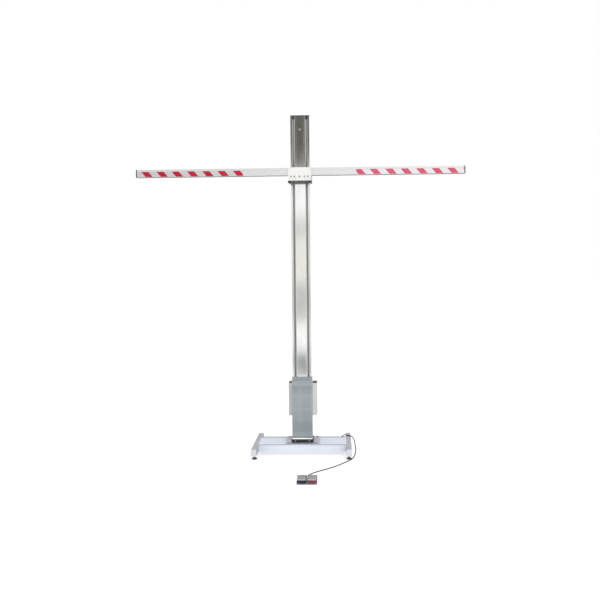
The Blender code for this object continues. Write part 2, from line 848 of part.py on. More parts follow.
def make_clamp_plate():
    top = CARRIAGE_BOTTOM + CARRIAGE_HEIGHT
    back = CLAMP_FRONT + CLAMP_THICK
    plate = add_piece(
        "clamp_plate",
        box(
            (-CARRIAGE_HALF_WIDTH, CLAMP_FRONT, CARRIAGE_BOTTOM),
            (CARRIAGE_HALF_WIDTH, back, top),
        ),
        "carriage_metal",
    )
    soften(plate, 0.001)
    head = [
        (0, CLAMP_FRONT - 0.0055),
        (0.0065, CLAMP_FRONT - 0.0055),
        (0.0072, CLAMP_FRONT - 0.0045),
        (0.0072, CLAMP_FRONT - GAP),
        (0.004, CLAMP_FRONT - GAP),
        (0.004, back + 0.028),
        (0, back + 0.028),
    ]
    for number, x in enumerate(CLAMP_BOLT_X, 1):
        place = (x, CLAMP_BOLT_Z)
        cut(plate, rod("Y", place, 0.004 + GAP, CLAMP_FRONT - 0.01, back + 0.01, sides=12))
        bolt = turned(head, "Y", place, sides=12)
        add_piece(f"clamp_bolt_{number}", bolt, "steel", (x, CLAMP_FRONT, CLAMP_BOLT_Z))


def make_guard():
    """Black skirt under the carriage with a soft bumper at each front corner."""
    half = CARRIAGE_HALF_WIDTH
    front = CLAMP_FRONT + CLAMP_THICK
    notch_x = MAST_WIDTH / 2 + 0.0025
    notch_y = -MAST_DEPTH / 2 - 0.003
    top = CARRIAGE_BOTTOM - GAP
    low = top - 0.006
    outline = [
        (-half, 0.040),
        (-half, front),
        (half, front),
        (half, 0.040),
        (notch_x, 0.040),
        (notch_x, notch_y),
        (-notch_x, notch_y),
        (-notch_x, 0.040),
    ]
    add_piece("bottom_guard", prism(outline, "Z", low, top), "black_plastic")
    for name, side in (("left", -1), ("right", 1)):
        edges = sorted((side * 0.080, side * half))
        bumper = add_piece(
            f"bumper_{name}",
            box((edges[0], front, low - 0.012), (edges[1], front + 0.045, low - GAP)),
            "bumper_rubber",
        )
        soften(bumper, 0.002)


def make_bar():
    """The boom: a rectangular tube with a plug in each end and a strip of tape on each arm."""
    front = CLAMP_FRONT + CLAMP_THICK + GAP
    back = front + BAR_DEPTH
    top = BAR_BOTTOM + BAR_HEIGHT
    end = BAR_LENGTH / 2
    tube_end = end - BAR_CAP - GAP
    bar = add_piece(
        "cross_bar", box((-tube_end, front, BAR_BOTTOM), (tube_end, back, top)), "bar_metal"
    )
    soften(bar, 0.002)
    cut(
        bar,
        box(
            (-end, front + BAR_WALL, BAR_BOTTOM + BAR_WALL),
            (end, back - BAR_WALL, top - BAR_WALL),
        ),
    )
    inset = BAR_WALL + GAP
    for name, side in (("left", -1), ("right", 1)):
        faces = sorted((side * (end - BAR_CAP), side * end))
        cap = add_piece(
            f"bar_cap_{name}",
            box((faces[0], front, BAR_BOTTOM), (faces[1], back, top)),
            "black_plastic",
        )
        soften(cap, 0.0012)
        plug = sorted((side * (end - BAR_CAP / 2), side * (end - 0.018)))
        weld(
            cap,
            box(
                (plug[0], front + inset, BAR_BOTTOM + inset),
                (plug[1], back - inset, top - inset),
            ),
        )
        tape_ends = sorted((side * TAPE_INNER, side * TAPE_OUTER))
        tape_low = BAR_BOTTOM + 0.003
        tape_back = front - GAP
        add_piece(
            f"hazard_tape_{name}",
            box(
                (tape_ends[0], tape_back - TAPE_THICK, tape_low),
                (tape_ends[1], tape_back, tape_low + TAPE_HEIGHT),
            ),
            "hazard_tape",
        )


# ---- Pedal and cable -----------------------------------------------------------------------


def make_pedal():
    low, high = PEDAL_X - PEDAL_HALF_WIDTH, PEDAL_X + PEDAL_HALF_WIDTH
    base = add_piece(
        "pedal_base", box((low, PEDAL_FRONT, 0), (high, PEDAL_BACK, PEDAL_BASE)), "pedal_base"
    )
    soften(base, 0.001)
    half_gap = HOUSING_GAP / 2
    make_switch("left", low + 0.001, PEDAL_X - half_gap, "pedal_black")
    make_switch("right", PEDAL_X + half_gap, high - 0.001, "pedal_red")

    floor = PEDAL_BASE + GAP
    relief = add_piece(
        "pedal_strain_relief",
        box((PEDAL_X - 0.0055, -0.880, floor), (PEDAL_X + 0.0055, -0.802, 0.026)),
        "black_plastic",
    )
    centre = (PEDAL_X, 0.015)
    sleeve = [
        (0, -0.8045),
        (0.0085, -0.8045),
        (0.0085, -0.800),
        (0.0062, -0.797),
        (0.0048, -0.781),
        (0, -0.781),
    ]
    weld(relief, turned(sleeve, "Y", centre, sides=16))


def make_switch(name, low, high, finish):
    """One housing with two ears at its back, and the treadle that tips between them."""
    floor = PEDAL_BASE + GAP
    axis_y, axis_z = TREADLE_AXIS
    front = -0.913
    ear = 0.003
    side_view = [
        (front, floor),
        (front, 0.022),
        (front + 0.004, 0.026),
        (axis_y - 0.008, 0.028),
        (axis_y + 0.006, 0.028),
        (axis_y + 0.006, floor),
    ]
    housing = add_piece(f"pedal_housing_{name}", prism(side_view, "X", low, high), finish)
    ear_view = [
        (axis_y - 0.006, 0.020),
        (axis_y - 0.006, axis_z),
        *arc((axis_y, axis_z), 0.005, 160, 20),
        (axis_y + 0.006, axis_z),
        (axis_y + 0.006, 0.020),
    ]
    for edge in ((low, low + ear), (high - ear, high)):
        weld(housing, prism(ear_view, "X", *edge))
    cut(housing, rod("X", TREADLE_AXIS, 0.002 + GAP, low - 0.01, high + 0.01, sides=16))

    inner, outer = low + ear + 0.0005, high - ear - 0.0005
    lip = front - 0.002
    plate_low = TREADLE_TOP - 0.003
    treadle_view = [
        (axis_y - 0.002, TREADLE_TOP),
        (lip - 0.003, TREADLE_TOP),
        (lip - 0.003, TREADLE_TOP - 0.011),
        (lip, TREADLE_TOP - 0.011),
        (lip, plate_low),
        (axis_y - 0.002, plate_low),
    ]
    middle = (low + high) / 2
    treadle = add_piece(
        f"treadle_{name}",
        prism(treadle_view, "X", inner, outer),
        "treadle_metal",
        (middle, axis_y, axis_z),
    )
    weld(
        treadle,
        rod("X", TREADLE_AXIS, 0.0045, inner, outer, sides=16),
        rod("X", TREADLE_AXIS, 0.002, low + 0.0005, high - 0.0005, sides=16),
    )


def make_gland():
    """Cable gland on the back of the base beam."""
    x, z = GLAND
    face = BEAM_HALF_DEPTH + GAP
    profile = [
        (0, BEAM_HALF_DEPTH - 0.015),
        (0.006, BEAM_HALF_DEPTH - 0.015),
        (0.006, face),
        (0.0105, face),
        (0.0105, face + 0.006),
        (0.009, face + 0.007),
        (0.009, face + 0.016),
        (0.0055, face + 0.025 - GAP),
        (0, face + 0.025 - GAP),
    ]
    add_piece("cable_gland", turned(profile, "Y", (x, z), sides=16), "black_plastic")


def make_cable():
    """The lead from the base to the pedal, over the right leg and along the floor."""
    curve = bpy.data.curves.new("pedal_cable", "CURVE")
    curve.dimensions = "3D"
    curve.bevel_depth = CABLE_DIAMETER / 2
    curve.bevel_resolution = 2
    curve.use_fill_caps = True
    points = along_curve(CABLE_ROUTE, CABLE_POINTS)
    spline = curve.splines.new("POLY")
    spline.points.add(len(points) - 1)
    for knot, point in zip(spline.points, points):
        knot.co = (*point, 1)
    spline.use_smooth = True
    curve.materials.append(make_material("cable_rubber"))
    cable = bpy.data.objects.new("pedal_cable", curve)
    bpy.context.collection.objects.link(cable)
    cable.parent = stand


clear_scene()
stand = bpy.data.objects.new("stand", None)
stand.location = (0, STAND_Y, 0)
bpy.context.collection.objects.link(stand)

for leg_name, leg_side in (("left", -1), ("right", 1)):
    make_leg(leg_name, leg_side)
make_beam()
make_base_plate()
make_collar()
make_mast()
make_front_strip()
make_top_cap()
make_pulleys()
make_belt()
make_gear_motor()
make_front_cover()
make_control_box()
make_door()
make_mains_inlet()
make_trolley()
make_rollers()
make_carriage_frame()
make_clamp_plate()
make_guard()
make_bar()
make_pedal()
make_gland()
make_cable()
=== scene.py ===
"""A free-standing lift stand: its finishes, its detailed pieces, the studio and the camera."""

import json
import math

import bmesh
import bpy
from mathutils import Matrix, Vector


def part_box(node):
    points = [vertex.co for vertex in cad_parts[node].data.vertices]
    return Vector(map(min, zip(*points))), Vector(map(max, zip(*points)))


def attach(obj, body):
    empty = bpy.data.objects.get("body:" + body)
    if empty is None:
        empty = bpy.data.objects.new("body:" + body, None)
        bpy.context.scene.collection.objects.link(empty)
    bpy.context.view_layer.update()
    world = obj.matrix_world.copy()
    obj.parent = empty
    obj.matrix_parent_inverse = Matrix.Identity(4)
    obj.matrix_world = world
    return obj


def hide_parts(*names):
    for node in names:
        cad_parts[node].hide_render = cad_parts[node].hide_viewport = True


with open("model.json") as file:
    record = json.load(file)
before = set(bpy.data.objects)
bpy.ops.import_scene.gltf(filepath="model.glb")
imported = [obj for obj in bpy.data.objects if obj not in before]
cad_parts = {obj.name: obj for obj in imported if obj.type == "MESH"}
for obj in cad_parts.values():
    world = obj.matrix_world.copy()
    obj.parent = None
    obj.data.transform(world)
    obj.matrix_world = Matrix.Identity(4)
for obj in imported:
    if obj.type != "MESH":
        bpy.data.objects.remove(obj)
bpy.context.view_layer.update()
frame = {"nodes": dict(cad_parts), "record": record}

# Metres throughout, in the row frame. The mast's centre line stands this far behind the origin.
STAND_Y = 0.318
GAP = 0.0003
SMOOTH_ANGLE = math.radians(35)
SIDES = (("left", -1), ("right", 1))
CORNERS = ("left_front", "left_back", "right_front", "right_back")

MAST_WALL = 0.003
# From the mast's side to its slot.
MAST_FLANGE = 0.019
BEAM_WALL = 0.005
COVER_BEND = 0.0035
BELT_PITCH = 0.008
# The treadles' axis as (y, z), and the ears that hold its ends.
TREADLE_AXIS = (STAND_Y - 0.811, 0.0345)
EAR = 0.003

CABLE_DIAMETER = 0.008
CABLE_POINTS = 234
# Measured from the mast's centre line, as in the CAD source.
CABLE_ROUTE = (
    (0.350, 0.1655, 0.068), (0.352, 0.186, 0.071), (0.365, 0.202, 0.088), (0.388, 0.199, 0.1050),
    (0.412, 0.182, 0.1055), (0.437, 0.165, 0.1052), (0.461, 0.153, 0.0985), (0.477, 0.145, 0.077),
    (0.486, 0.136, 0.046), (0.491, 0.116, 0.0165), (0.4925, 0.080, 0.0045),
    (0.4915, 0.020, 0.0042), (0.4875, -0.050, 0.0042), (0.480, -0.120, 0.0042),
    (0.4695, -0.185, 0.0042), (0.456, -0.237, 0.0042), (0.435, -0.283, 0.0042),
    (0.409, -0.325, 0.0042), (0.379, -0.368, 0.0042), (0.345, -0.414, 0.0042),
    (0.300, -0.472, 0.0042), (0.236, -0.540, 0.0042), (0.168, -0.601, 0.0042),
    (0.120, -0.652, 0.0045), (0.094, -0.700, 0.0075), (0.082, -0.745, 0.0125),
    (0.078, -0.7805, 0.015),
)


def linked(name, data):
    """A new object of that data, in the scene."""
    made = bpy.data.objects.new(name, data)
    bpy.context.scene.collection.objects.link(made)
    return made


def make_camera():
    """Standing eye height, a little right of the mast, six metres in front of it."""
    data = bpy.data.cameras.new("camera")
    data.sensor_width = 36.0
    data.lens = 38.98
    data.shift_x = -0.0330
    data.shift_y = -0.0492
    data.clip_end = 200.0
    camera = linked("camera", data)
    eye = Matrix.Translation((0.3409, -6.060 + STAND_Y, 1.705))
    yaw = Matrix.Rotation(0.0279, 4, "Z")
    pitch = Matrix.Rotation(math.pi / 2 - 0.0024, 4, "X")
    roll = Matrix.Rotation(-0.0095, 4, "Z")
    camera.matrix_world = eye @ yaw @ pitch @ roll
    bpy.context.scene.camera = camera


# ---- Finishes ----


class Finish:
    """A Principled material whose node tree is built up in small steps."""

    def __init__(self, name, colour, metallic, roughness):
        self.name = name
        self.material = bpy.data.materials.new(name)
        self.material.use_nodes = True
        self.tree = self.material.node_tree
        self.shader = self.tree.nodes["Principled BSDF"]
        self.colour = colour
        self.set("Base Color", colour)
        self.set("Metallic", metallic)
        self.set("Roughness", roughness)
        self.place = self.node("ShaderNodeTexCoord").outputs["Object"]
        self.normal = None

    def node(self, kind, **settings):
        made = self.tree.nodes.new(kind)
        for name, value in settings.items():
            setattr(made, name, value)
        return made

    def put(self, value, socket):
        """Gives a socket its value: a number, an RGB tuple or another node's output."""
        if isinstance(value, tuple):
            socket.default_value = (*value, 1.0)
        elif isinstance(value, (int, float)):
            socket.default_value = value
        else:
            self.tree.links.new(value, socket)

    def set(self, socket, value):
        self.put(value, self.shader.inputs[socket])

    def texture(self, kind, scale, offset=0.0):
        """A texture with cells of 1/scale metres. The scale is a number, or one for each axis."""
        mapping = self.node("ShaderNodeMapping")
        mapping.inputs["Scale"].default_value = scale if isinstance(scale, tuple) else (scale,) * 3
        mapping.inputs["Location"].default_value = (offset, offset * 0.7, offset * 1.3)
        self.put(self.place, mapping.inputs["Vector"])
        made = self.node(kind)
        made.inputs["Scale"].default_value = 1.0
        self.put(mapping.outputs["Vector"], made.inputs["Vector"])
        return made

    def noise(self, scale, detail=3.0, rough=0.5, offset=0.0):
        made = self.texture("ShaderNodeTexNoise", scale, offset)
        made.inputs["Detail"].default_value = detail
        made.inputs["Roughness"].default_value = rough
        return made.outputs["Fac"]

    def cells(self, scale):
        return self.texture("ShaderNodeTexVoronoi", scale).outputs["Distance"]

    def spread(self, source, low, high, from_low=0.0, from_high=1.0):
        """Maps a value's range to another."""
        node = self.node("ShaderNodeMapRange")
        limits = {"From Min": from_low, "From Max": from_high, "To Min": low, "To Max": high}
        for name, value in limits.items():
            node.inputs[name].default_value = value
        self.put(source, node.inputs["Value"])
        return node.outputs["Result"]

    def patches(self, source):
        """Clear patches, from 0 to 1, out of a noise that hardly leaves its middle."""
        return self.spread(source, 0.0, 1.0, 0.3, 0.7)

    def maths(self, operation, *values):
        node = self.node("ShaderNodeMath", operation=operation)
        for value, socket in zip(values, node.inputs):
            self.put(value, socket)
        return node.outputs["Value"]

    def axis(self, name):
        split = self.node("ShaderNodeSeparateXYZ")
        self.put(self.place, split.inputs["Vector"])
        return split.outputs[name]

    def mix(self, share, first, second):
        """A colour between two, each an RGB tuple or a socket."""
        node = self.node("ShaderNodeMix", data_type="RGBA")
        for index, value in ((0, share), (6, first), (7, second)):
            self.put(value, node.inputs[index])
        return node.outputs[2]

    def shade(self, source, amount):
        """The finish's colour, up to that share darker or lighter as the value goes from 0 to 1."""
        dark = scaled(self.colour, 1 - amount)
        light = tuple(min(1.0, channel) for channel in scaled(self.colour, 1 + amount))
        return self.mix(source, dark, light)

    def edges(self, radius, share):
        """0 on flat stretches, up to share where an edge is near. Painted metal shows its worn coat
        there; plastic gets a painted sheen.
        """
        bevel = self.node("ShaderNodeBevel", samples=4)
        bevel.inputs["Radius"].default_value = radius
        dot = self.node("ShaderNodeVectorMath", operation="DOT_PRODUCT")
        self.put(bevel.outputs["Normal"], dot.inputs[0])
        self.put(self.node("ShaderNodeNewGeometry").outputs["Normal"], dot.inputs[1])
        near = self.spread(dot.outputs["Value"], share, 0.0, 0.80, 0.985)
        patchy = self.spread(self.noise(140.0, 4.0, 0.6), 0.0, 1.0, 0.46, 0.60)
        return self.maths("MULTIPLY", near, patchy)

    def relief(self, source, distance, strength=1.0):
        """Adds a bump, over any earlier ones."""
        bump = self.node("ShaderNodeBump")
        bump.inputs["Distance"].default_value = distance
        bump.inputs["Strength"].default_value = strength
        self.put(source, bump.inputs["Height"])
        if self.normal:
            self.put(self.normal, bump.inputs["Normal"])
        self.normal = bump.outputs["Normal"]
        self.set("Normal", self.normal)


def scaled(colour, share):
    return tuple(channel * share for channel in colour)


def lifted(colour, amount):
    return tuple(channel + amount for channel in colour)


def brushed(name, colour, roughness, metallic=1.0, along="Z", fine=420.0, tone=0.10, rise_and_highlight_heights=None):
    """Metal with grain lines along an axis. Given two heights, it grows lighter between them, with a
    painted highlight just under the upper one.
    """
    finish = Finish(name, colour, metallic, roughness)
    stretch, wide = [fine] * 3, [fine / 9] * 3
    stretch["XYZ".index(along)], wide["XYZ".index(along)] = 1.6, 0.7
    grain = finish.noise(tuple(stretch), 5.0, 0.65)
    bands = finish.spread(finish.noise(tuple(wide), 2.0, 0.5, 3.1), 0.7, 1.3, 0.3, 0.7)
    smudges = finish.noise((9.0, 9.0, 5.0), 4.0, 0.6, 7.7)
    tint = finish.maths("MULTIPLY", finish.maths("MULTIPLY_ADD", grain, 0.5, 0.25), bands)
    if rise_and_highlight_heights:
        # Duller towards the foot, in faint level bands, with a painted highlight above a line near the
        # top.
        height = finish.axis("Z")
        rise = finish.spread(height, -0.45, 0.40, *rise_and_highlight_heights)
        painted_top_highlight = finish.spread(height, 0.0, 2.0, rise_and_highlight_heights[1] - 0.075, rise_and_highlight_heights[1] - 0.055)
        layers = finish.noise((0.6, 0.6, 9.0), 2.0, 0.5, 5.3)
        for layer in (rise, painted_top_highlight, finish.spread(layers, -0.5, 0.5, 0.3, 0.7)):
            tint = finish.maths("ADD", tint, layer)
    finish.set("Base Color", finish.shade(tint, tone))
    streaky = finish.spread(grain, roughness * 0.8, roughness * 1.35, 0.3, 0.7)
    smeared = finish.spread(smudges, 0.9, 1.25, 0.35, 0.7)
    finish.set("Roughness", finish.maths("MULTIPLY", streaky, smeared))
    finish.relief(grain, 0.00006)
    return finish


def coated(name, colour, roughness, wear=(0.50, 0.50, 0.50), worn=0.6):
    """Powder coat: orange peel, faint patches, and chips along the edges that show the metal."""
    finish = Finish(name, colour, 0.0, roughness)
    peel = finish.noise(650.0, 2.0)
    dust = finish.noise(60.0, 6.0, 0.7, 5.9)
    painted = finish.shade(finish.patches(finish.noise(5.0, 5.0, 0.6, 2.3)), 0.05)
    dusty = finish.mix(finish.spread(dust, 0.0, 0.35, 0.52, 0.75), painted, scaled(colour, 0.82))
    chips = finish.edges(0.0022, worn)
    finish.set("Base Color", finish.mix(chips, dusty, wear))
    uneven = finish.spread(dust, roughness * 0.88, roughness * 1.18, 0.3, 0.7)
    finish.set("Roughness", finish.maths("MULTIPLY_ADD", chips, -0.12, uneven))
    finish.relief(peel, 0.00010, 0.6)
    return finish


def moulded(name, colour, roughness, grain=900.0, tone=0.10):
    """Plastic with a fine spark-eroded texture, and a painted sheen that lightens its edges."""
    finish = Finish(name, colour, 0.0, roughness)
    patches = finish.noise(16.0, 4.0, 0.6, 4.1)
    tint = finish.shade(finish.patches(patches), tone)
    # Edges lightened towards a paler colour: a painted sheen.
    finish.set("Base Color", finish.mix(finish.edges(0.0012, 0.5), tint, lifted(colour, 0.10)))
    finish.set("Roughness", finish.spread(patches, roughness * 0.85, roughness * 1.2, 0.3, 0.7))
    finish.relief(finish.noise(grain, 3.0, 0.6), 0.00008)
    return finish


def rubbery(name, colour, roughness, sheen=0.5, bloomed=0.05):
    """Rubber with a dusty bloom."""
    finish = Finish(name, colour, 0.0, roughness)
    finish.set("Specular IOR Level", sheen)
    bloom = finish.noise(45.0, 6.0, 0.7)
    share = finish.spread(bloom, 0.0, 0.8, 0.42, 0.75)
    finish.set("Base Color", finish.mix(share, colour, lifted(colour, bloomed)))
    finish.set("Roughness", finish.spread(bloom, roughness * 0.9, min(1.0, roughness * 1.15)))
    finish.relief(finish.noise(1300.0, 2.0, 0.5, 1.7), 0.00006)
    return finish


def plated(name, colour, roughness):
    """Zinc-plated steel: a mottled passivated coat with fine scratches."""
    finish = Finish(name, colour, 1.0, roughness)
    mottle = finish.spread(finish.cells(260.0), 0.0, 0.25)
    cloud = finish.noise(70.0, 5.0, 0.6, 6.3)
    tint = finish.shade(finish.patches(cloud), 0.14)
    finish.set("Base Color", finish.mix(mottle, tint, (0.50, 0.49, 0.44)))
    finish.set("Roughness", finish.spread(cloud, roughness * 0.8, roughness * 1.4, 0.3, 0.7))
    finish.relief(finish.noise((900.0, 900.0, 60.0), 4.0, 0.6, 1.9), 0.00004)
    return finish


def striped_tape(name, red, white, phase):
    """Slanted red and white stripes on a reflective film with a fine cell pattern."""
    period, red_width, slant, blur = 0.140, 0.066, 0.85, 0.0006
    finish = Finish(name, white, 0.0, 0.40)
    finish.set("Specular IOR Level", 0.15)
    along = finish.maths("MULTIPLY_ADD", finish.axis("Z"), slant, finish.axis("X"))
    wobble = finish.spread(finish.noise(60.0), -0.0006, 0.0006)
    along = finish.maths("ADD", finish.maths("ADD", along, wobble), phase)
    turn = finish.maths("FLOORED_MODULO", along, period)
    rising = finish.spread(turn, 0.0, 1.0, 0.0, blur)
    falling = finish.spread(turn, 1.0, 0.0, red_width, red_width + blur)
    is_red = finish.maths("MULTIPLY", rising, falling)
    fade = finish.patches(finish.noise((14.0, 14.0, 22.0), 5.0, 0.65, 8.1))
    faded_red = finish.mix(fade, red, lifted(scaled(red, 1.12), 0.015))
    dirty_white = finish.mix(fade, white, scaled(white, 0.94))
    finish.set("Base Color", finish.mix(is_red, dirty_white, faded_red))
    finish.set("Roughness", finish.spread(fade, 0.34, 0.50))
    finish.relief(finish.cells(420.0), 0.00005)
    finish.relief(finish.noise(30.0, 2.0), 0.0006, 0.5)
    return finish


def make_finishes():
    """Every material, by its name."""
    made = (
        brushed("mast_metal", (0.88, 0.88, 0.87), 0.14, tone=0.06),
        brushed("strip_metal", (0.97, 0.97, 0.96), 0.10, tone=0.04),
        # The cover grows darker towards its foot and has a painted highlight along its top.
        brushed("cover_metal", (0.305, 0.336, 0.356), 0.28, 0.85, tone=0.16, rise_and_highlight_heights=(0.14, 0.70)),
        brushed("bar_metal", (0.56, 0.56, 0.565), 0.36, 0.3, "X", tone=0.05),
        brushed("plate_metal", (0.42, 0.43, 0.48), 0.38, 0.7, "X", 300.0),
        brushed("pedal_base", (0.40, 0.40, 0.43), 0.4, 0.7, "X", 300.0),
        brushed("treadle_metal", (0.48, 0.475, 0.465), 0.35, 0.9, "X", 260.0),
        coated("carriage_metal", (0.57, 0.56, 0.55), 0.35, worn=0.25),
        # A darker copy of the carriage's coat, for its cheeks: painted shade.
        coated("shaded_cheek_metal", (0.24, 0.24, 0.24), 0.40, worn=0.4),
        coated("box_paint", (0.56, 0.56, 0.565), 0.45),
        coated("beam_paint", (0.58, 0.61, 0.69), 0.42, (0.45, 0.46, 0.50)),
        coated("leg_paint", (0.320, 0.325, 0.362), 0.45),
        coated("motor_paint", (0.16, 0.17, 0.18), 0.5, (0.30, 0.30, 0.30)),
        coated("black_paint", (0.018, 0.018, 0.028), 0.45, (0.16, 0.16, 0.17)),
        moulded("black_plastic", (0.020, 0.020, 0.022), 0.55),
        moulded("grey_plastic", (0.52, 0.525, 0.54), 0.45, tone=0.04),
        moulded("foot_rubber", (0.060, 0.060, 0.064), 0.6),
        moulded("brush_grey", (0.24, 0.24, 0.236), 0.8, 1400.0),
        moulded("roller_plastic", (0.74, 0.71, 0.62), 0.4, tone=0.05),
        moulded("pedal_black", (0.010, 0.012, 0.030), 0.4),
        moulded("pedal_red", (0.20, 0.030, 0.065), 0.4, tone=0.12),
        rubbery("belt_rubber", (0.025, 0.025, 0.026), 0.7),
        rubbery("bumper_rubber", (0.018, 0.018, 0.019), 0.75),
        rubbery("cable_rubber", (0.008, 0.008, 0.009), 0.7, 0.06, 0.012),
        # The right tape's red and white are lighter than the left's: painted light, where the right
        # side is lit brighter.
        striped_tape("tape_left", (0.30, 0.005, 0.020), (0.44, 0.40, 0.415), -0.066),
        striped_tape("tape_right", (0.38, 0.055, 0.100), (0.52, 0.485, 0.495), -0.052),
    )
    materials = {finish.name: finish.material for finish in made}
    materials["steel"] = plated("zinc_steel", (0.62, 0.62, 0.60), 0.30).material
    return materials


# ---- Making shapes ----


def polar(radius, angle, centre=(0.0, 0.0)):
    return centre[0] + radius * math.cos(angle), centre[1] + radius * math.sin(angle)


def circle(radius, sides=32):
    return [polar(radius, 2 * math.pi * side / sides) for side in range(sides)]


def hexagon(radius):
    """A regular hexagon with points at even angles, as many as the circles it is joined to have."""
    sides, sector = 48, math.pi / 6
    points = []
    for side in range(sides):
        angle = 2 * math.pi * side / sides
        reach = radius * math.cos(sector) / math.cos(angle % (2 * sector) - sector)
        points.append(polar(reach, angle))
    return points


def rounded(width, height, radius, steps=6):
    """A rectangle with round corners, about its middle."""
    points = []
    for turn, (across, up) in enumerate(((1, 1), (-1, 1), (-1, -1), (1, -1))):
        corner = (across * (width / 2 - radius), up * (height / 2 - radius))
        for step in range(steps + 1):
            points.append(polar(radius, math.pi / 2 * (turn + step / steps), corner))
    return points


def toothed(outer, inner, teeth):
    """A ring whose radius steps between two as it goes round, with four points to a tooth."""
    count = 4 * teeth
    radii = [outer if index % 4 < 2 else inner for index in range(count)]
    return [polar(radius, 2 * math.pi * index / count) for index, radius in enumerate(radii)]


def arc(centre, radius, first, last, steps=6):
    """The points of an arc, angles in degrees."""
    turns = [first + (last - first) * step / steps for step in range(steps + 1)]
    return [polar(radius, math.radians(turn), centre) for turn in turns]


def mirrored(points):
    """The points on the other side of the outline's upright axis, in the order that goes on."""
    return [(-x, y) for x, y in reversed(points)]


def skin(rings, looped=False):
    """A closed shape through rings of 3-D points, its ends capped or joined to each other."""
    shape = bmesh.new()
    rings = [[shape.verts.new(point) for point in ring] for ring in rings]
    following = rings[1:]
    if looped:
        following.append(rings[0])
    else:
        shape.faces.new(list(reversed(rings[0])))
        shape.faces.new(rings[-1])
    for near, far in zip(rings, following):
        for side in range(len(near)):
            after = (side + 1) % len(near)
            shape.faces.new((near[side], near[after], far[after], far[side]))
    bmesh.ops.recalc_face_normals(shape, faces=shape.faces)
    return shape


def loft(axis, sections, centre=(0, 0), seat=0.0, away=1, looped=False):
    """A closed shape through outlines of equal counts, each with its distance from the seat."""
    rings = []
    for outline, distance in sections:
        ring = []
        for first, second in outline:
            place = [centre[0] + first, centre[1] + second]
            place.insert("XYZ".index(axis), seat + away * distance)
            ring.append(place)
        rings.append(ring)
    return skin(rings, looped)


def prism(axis, outline, start, end, centre=(0, 0)):
    return loft(axis, [(outline, start), (outline, end)], centre)


def rod(axis, centre, radius, start, end, sides=32):
    return prism(axis, circle(radius, sides), start, end, centre)


def turned(axis, centre, levels, sides=32, seat=0.0, away=1):
    """A turned shape. A level is a radius, or an outline of as many sides, and its distance."""
    sections = []
    for level, distance in levels:
        outline = level if isinstance(level, list) else circle(level, sides)
        sections.append((outline, distance))
    return loft(axis, sections, centre, seat, away)


def slab(axis, centre, width, height, radius, levels, seat=0.0, away=1):
    """A rectangle with round corners. A level is a trim, a distance and, if it differs, a radius."""
    sections = []
    for trim, distance, *other in levels:
        corner = other[0] if other else radius
        sections.append((rounded(width - trim, height - trim, corner), distance))
    return loft(axis, sections, centre, seat, away)


def block(low, high):
    low, high = Vector(low), Vector(high)
    shape = bmesh.new()
    place = Matrix.Translation((low + high) / 2) @ Matrix.Diagonal((high - low).to_4d())
    bmesh.ops.create_cube(shape, size=1, matrix=place)
    return shape


def joined(*shapes):
    """One bmesh of several closed shapes."""
    whole = bmesh.new()
    for shape in shapes:
        part = bpy.data.meshes.new("part")
        shape.to_mesh(part)
        shape.free()
        whole.from_mesh(part)
        bpy.data.meshes.remove(part)
    return whole


def piece(name, shape, slot, *nodes, body="stand", bevel=0.0, finish=None):
    """Makes a piece of a bmesh, finished and riding on its body, that replaces the CAD nodes."""
    mesh = bpy.data.meshes.new(name)
    shape.to_mesh(mesh)
    shape.free()
    mesh.shade_smooth()
    mesh.set_sharp_from_angle(angle=SMOOTH_ANGLE)
    made = linked(name, mesh)
    mesh.materials.append(finishes[finish or slot])
    smooth_out(made, bevel)
    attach(made, body)
    if nodes:
        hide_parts(*nodes)
    return made


def smooth_out(item, bevel):
    """Rounds the edges, and keeps flat faces flat to the light, with only the bends shaded round."""
    if bevel:
        modifier = item.modifiers.new("Edges", "BEVEL")
        modifier.width = bevel
        modifier.segments = 3
        modifier.limit_method = "ANGLE"
        modifier.angle_limit = SMOOTH_ANGLE
        modifier.harden_normals = True
    item.modifiers.new("Normals", "WEIGHTED_NORMAL").keep_sharp = True


def middle(node):
    low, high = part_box(node)
    return (low + high) / 2


# ---- Fasteners ----
# A head's seat is a place on its axis, and away is +1 or -1, the way it points from there.


def hex_head(axis, centre, seat, away, across, height):
    """A forged hexagon head with a turned chamfer."""
    corner = across / 2 / math.cos(math.pi / 6)
    chamfer = (corner - across / 2) * 0.9
    levels = [
        (across * 0.485, 0.0), (hexagon(corner), chamfer * 0.4),
        (hexagon(corner), height - chamfer), (across * 0.47, height),
        (across * 0.30, height - 0.0003),
    ]
    return turned(axis, centre, levels, 48, seat, away)


def washer(axis, centre, seat, away, radius, thick):
    levels = [
        (radius - thick * 0.2, 0.0), (radius, thick * 0.25), (radius, thick * 0.75),
        (radius - thick * 0.3, thick),
    ]
    return turned(axis, centre, levels, 32, seat, away)


def socket_head(axis, centre, seat, away, radius, height):
    """A round head with a hexagon socket in it."""
    key = hexagon(radius * 0.5)
    levels = [
        (radius, 0.0), (radius, height * 0.8), (radius * 0.94, height * 0.93),
        (radius * 0.84, height), (radius * 0.54, height), (key, height - 0.0003),
        (key, height * 0.45), (radius * 0.15, height * 0.395),
    ]
    return turned(axis, centre, levels, 48, seat, away)


def pan_screw(axis, centre, seat, away, radius):
    """A small domed screw with a slot across it."""
    height = radius * 0.75
    levels = [
        (radius, 0.0), (radius * 0.98, height * 0.35), (radius * 0.80, height * 0.80),
        (radius * 0.52, height), (rounded(radius * 0.95, radius * 0.26, radius * 0.06), height),
        (rounded(radius * 0.85, radius * 0.20, radius * 0.05), height * 0.45),
    ]
    return turned(axis, centre, levels, 28, seat, away)


def threaded(axis, centre, radius, start, end):
    """A stem with thread ridges."""
    count = int(abs(end - start) / 0.0015)
    pitch = (end - start) / count
    levels = []
    for turn in range(count):
        levels.append((radius * 0.90, start + pitch * turn))
        levels.append((radius, start + pitch * (turn + 0.5)))
    levels.append((radius * 0.90, end))
    return turned(axis, centre, levels, 20)


# ---- Base ----


